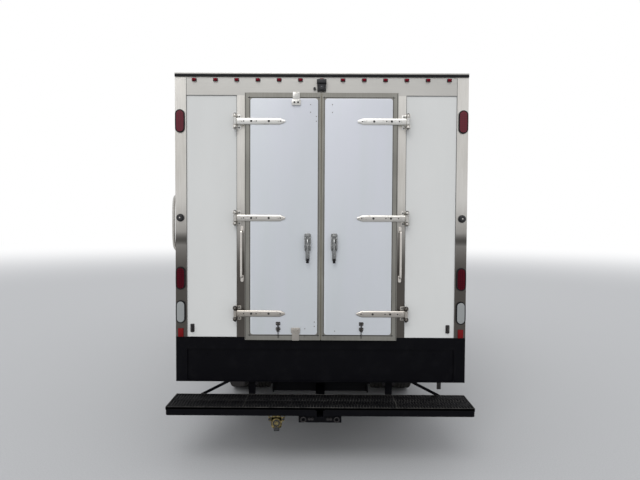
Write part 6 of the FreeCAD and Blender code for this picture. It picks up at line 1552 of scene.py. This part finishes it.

# Mirrors, door pulls, locks, inner door panels and steps. The mirror glass lies
# in the back of each head, over a narrow wide-angle glass.
dress("mirrors", black_abs)
silvered = Finish("silvered_mirror", "#C9CDCF", metallic=1, roughness=0.02)
silvered.set("Roughness", silvered.spread(silvered.noise(30, 6), 0.5, 0.9, 0.015, 0.16))
mesh = bmesh.new()
mirror_back = 3.1595
for sign in (-1, 1):
    for low_z, high_z in ((1.655, 1.944), (1.536, 1.640)):
        slab(mesh, (sign * 1.104, mirror_back - 0.0020, low_z), (sign * 1.276, mirror_back + 0.001, high_z),
             0.022, 1, 0.0006)
piece("mirror_glass", mesh, silvered, "cab")
for side, sign in SIDES:
    mesh = bmesh.new()
    slab(mesh, (0.998, 2.165, 1.075), (1.003, 2.345, 1.155), 0.014, 0, 0.002)
    bent(mesh, [(1.001, 2.182, 1.128), (1.022, 2.186, 1.130), (1.028, 2.21, 1.131), (1.028, 2.30, 1.131),
                (1.022, 2.324, 1.130), (1.001, 2.328, 1.128)], 0.0075, 10)
    piece("cab_door_pull_" + side, handed(mesh, sign), black_abs, "cab_door_" + side)
    mesh = bmesh.new()
    rod(mesh, (0.999, 2.205, 1.040), (1.005, 2.205, 1.040), 0.012, 20, 0.009)
    piece("cab_door_lock_" + side, handed(mesh, sign), plated, "cab_door_" + side)
    mesh = bmesh.new()
    slab(mesh, (0.9325, 2.160, 0.930), (0.9410, 3.080, 1.395), 0.03, 0, 0.002)
    slab(mesh, (0.895, 2.380, 1.165), (0.936, 2.760, 1.215), 0.016, 1, 0.006)
    slab(mesh, (0.918, 2.620, 0.950), (0.936, 3.000, 1.060), 0.016, 0, 0.004)
    rod(mesh, (0.936, 2.90, 1.245), (0.918, 2.90, 1.245), 0.018, 16)
    rod(mesh, (0.922, 2.90, 1.245), (0.922, 2.99, 1.225), 0.007, 10)
    rod(mesh, (0.922, 2.985, 1.226), (0.900, 2.985, 1.226), 0.011, 12)
    slab(mesh, (0.926, 2.780, 1.290), (0.935, 2.900, 1.340), 0.012, 0, 0.003)
    piece("cab_door_card_" + side, handed(mesh, sign), black_abs, "cab_door_" + side)
dress("cab_steps", black_enamel)
mesh = bmesh.new()
for sign in (-1, 1):
    for number in range(9):
        y = 2.958 + number * 0.026
        box(mesh, (sign * 0.745, y - 0.004, 0.4990), (sign * 0.925, y + 0.004, 0.5035), 0.0012)
piece("cab_step_treads", mesh, worn_teeth, "cab")

# Cab inside: grained dash with its instruments, vents and radio, moulded floor
# mats and pedals.
dash_plastic = clouded("grained_dash_plastic", "#2C2D30", (12, 5), ("#26272A", "#3A3B3D"), roughness=0.55)
dash_plastic.bump(dash_plastic.cells(620, 1, "SMOOTH_F1"), 0.25, 0.001)
dress("dashboard", dash_plastic)
dress("cab_floor", black_enamel)
dial_white = Finish("dial_white_print", "#D8D8D2", roughness=0.5)
dash_turn = Matrix(((1, 0, 0), (0, 0.447, 0.894), (0, -0.894, 0.447))).transposed().to_4x4()
dash_face = Matrix.Translation((0, 3.0345, 1.30)) @ dash_turn
trims, faces, marks = bmesh.new(), bmesh.new(), bmesh.new()
slab(faces, (-0.615, -0.044, -0.001), (-0.285, 0.044, 0.002), 0.02, 2, 0.0006)
ring(trims, [(-0.615, -0.044, 0), (-0.285, -0.044, 0), (-0.285, 0.044, 0), (-0.615, 0.044, 0)], (0, 0, 1),
     -0.003, 0.008, 0, 0.012, 0.02)
for x, radius in ((-0.535, 0.036), (-0.45, 0.020), (-0.365, 0.036)):
    for number in range(11):
        turn = math.radians(-130 + number * 26)
        mark_x, mark_y = x + (radius - 0.003) * math.sin(turn), (radius - 0.003) * math.cos(turn)
        box(marks, (mark_x - 0.0015, mark_y - 0.0015, 0.002), (mark_x + 0.0015, mark_y + 0.0015, 0.0026))
    rod(marks, (x, 0, 0.003), (x - radius * 0.5, -radius * 0.6, 0.003), 0.0012, 6)
for x in (-0.76, -0.19, 0.25, 0.76):
    ring(trims, [(x - 0.055, -0.030, 0), (x + 0.055, -0.030, 0), (x + 0.055, 0.030, 0),
                 (x - 0.055, 0.030, 0)],
         (0, 0, 1), -0.004, 0.004, 0, 0.006, 0.008)
    for number in range(5):
        box(trims, (x - 0.052, -0.024 + number * 0.0115, 0.0005),
            (x + 0.052, -0.021 + number * 0.0115, 0.004))
slab(faces, (-0.07, -0.026, -0.001), (0.12, 0.026, 0.006), 0.008, 2, 0.001)
for x in (-0.050, 0.100):
    rod(trims, (x, 0, 0.006), (x, 0, 0.018), 0.012, 16, 0.010)
slab(trims, (0.34, -0.045, 0), (0.67, 0.040, 0.004), 0.012, 2, 0.002)
for mesh in (trims, faces, marks):
    bmesh.ops.transform(mesh, matrix=dash_face, verts=mesh.verts)
for y, low_x, high_x in ((3.18, -0.56, -0.48), (3.17, -0.36, -0.30)):
    box(trims, (low_x, y - 0.010, 0.985), (high_x, y, 1.055), 0.004)
    rod(trims, ((low_x + high_x) / 2, y, 1.03), ((low_x + high_x) / 2, 3.30, 1.10), 0.007, 10)
piece("dash_trims", trims, black_abs, "cab")
piece("dash_displays", faces, glossy_lens, "cab")
piece("dial_marks", marks, dial_white, "cab")
mesh = bmesh.new()
for low_x, high_x in ((-0.865, -0.385), (0.385, 0.865)):
    slab(mesh, (low_x, 2.600, 0.899), (high_x, 3.330, 0.906), 0.03, 2, 0.002)
    for number in range(17):
        x = low_x + 0.032 + number * 0.026
        box(mesh, (x - 0.004, 2.640, 0.905), (x + 0.004, 3.290, 0.909), 0.001, 1)
piece("floor_mats", mesh, seal_rubber, "cab")

# Seats: foam cushions in grey woven cloth, swollen by a cloth solver against
# their covers, then drawn in along sewn channels, on black frames.
weave = Finish("woven_seat_cloth", "#4B4D52", roughness=0.85, sheen_weight=0.35, sheen_roughness=0.4)
threads = weave.calc("MULTIPLY", weave.waves(150, "X", 0.6), weave.waves(150, "DIAGONAL", 0.6))
weave.paint(weave.calc("MULTIPLY", threads, weave.noise(6, 5)), "#3B3D42", "#6B6E75")
weave.bump(threads, 0.3, 0.0015)
seat_rear, seat_front = 2.0695, 2.5895
lean = 0.070 / 0.58
pads = []
frames = bmesh.new()
for seat, low_x, high_x, channels in (("driver", -0.710, -0.190, 2), ("bench", -0.100, 0.780, 4)):
    for part, low, high in (("cushion", (low_x, seat_rear + 0.004, 1.190), (high_x, seat_front, 1.300)),
                            ("back", (low_x, seat_rear - 0.110, 1.305),
                             (high_x, seat_rear - 0.008, 1.880))):
        mesh = bmesh.new()
        margin = Vector((0.012, 0.012, 0.012))
        box(mesh, Vector(low) + margin, Vector(high) - margin, 0.030, 4)
        if part == "back":
            for corner in mesh.verts:
                corner.co.y -= (corner.co.z - 1.300) * lean
        pad = piece("%s_seat_%s" % (seat, part), mesh, weave, "cab", 180)
        pads.append((pad, part, low_x, high_x, channels))
    box(frames, (low_x + 0.02, seat_rear - 0.09, 1.157), (high_x - 0.02, seat_front - 0.03, 1.196), 0.010)
    under = (-0.690, -0.385) if seat == "driver" else (0.385, 0.760)
    box(frames, (under[0], seat_rear - 0.02, 0.900), (under[1], seat_front - 0.08, 1.160), 0.012)
    made = bmesh.new()
    slab(made, (low_x + 0.02, seat_rear - 0.122, 1.200), (high_x - 0.02, seat_rear - 0.104, 1.850), 0.05, 1,
         0.006)
    for corner in made.verts:
        corner.co.y -= (corner.co.z - 1.200) * 0.052
    pour(frames, made)
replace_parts(piece("seat_frames", frames, black_abs, "cab"), "seats")
starts = []
for pad, part, low_x, high_x, channels in pads:
    skin = pad.modifiers.new("Even skin", "REMESH")
    skin.mode = "VOXEL"
    skin.voxel_size = 0.015
depsgraph = bpy.context.evaluated_depsgraph_get()
for pad, part, low_x, high_x, channels in pads:
    even = bpy.data.meshes.new_from_object(pad.evaluated_get(depsgraph))
    starts.append([corner.co.copy() for corner in even.vertices])
    pad.modifiers.clear()
    pad.data = even
    cover = pad.modifiers.new("Cover", "CLOTH")
    cover.settings.use_pressure = True
    cover.settings.uniform_pressure_force = 4
    cover.settings.effector_weights.gravity = 0
for step in range(1, 21):
    bpy.context.scene.frame_set(step)
depsgraph = bpy.context.evaluated_depsgraph_get()
for (pad, part, low_x, high_x, channels), start in zip(pads, starts):
    grown = bpy.data.meshes.new_from_object(pad.evaluated_get(depsgraph))
    pad.modifiers.clear()
    lines = [low_x + (high_x - low_x) * (n + 1) / (channels + 1) for n in range(channels)]
    for corner, origin in zip(grown.vertices, start):
        move = corner.co - origin
        if move.length > 0.022:
            move = move.normalized() * 0.022
        spot = origin + move
        sunk = 0.010 * sum(math.exp(-((spot.x - line) / 0.014) ** 2) for line in lines)
        corner.co = spot - Vector((0, 0, sunk) if part == "cushion" else (0, sunk, 0))
    pad.data = grown
    pad.data.shade_smooth()
    smooth = pad.modifiers.new("Smooth cover", "SUBSURF")
    smooth.levels = smooth.render_levels = 1
bpy.context.scene.frame_set(1)
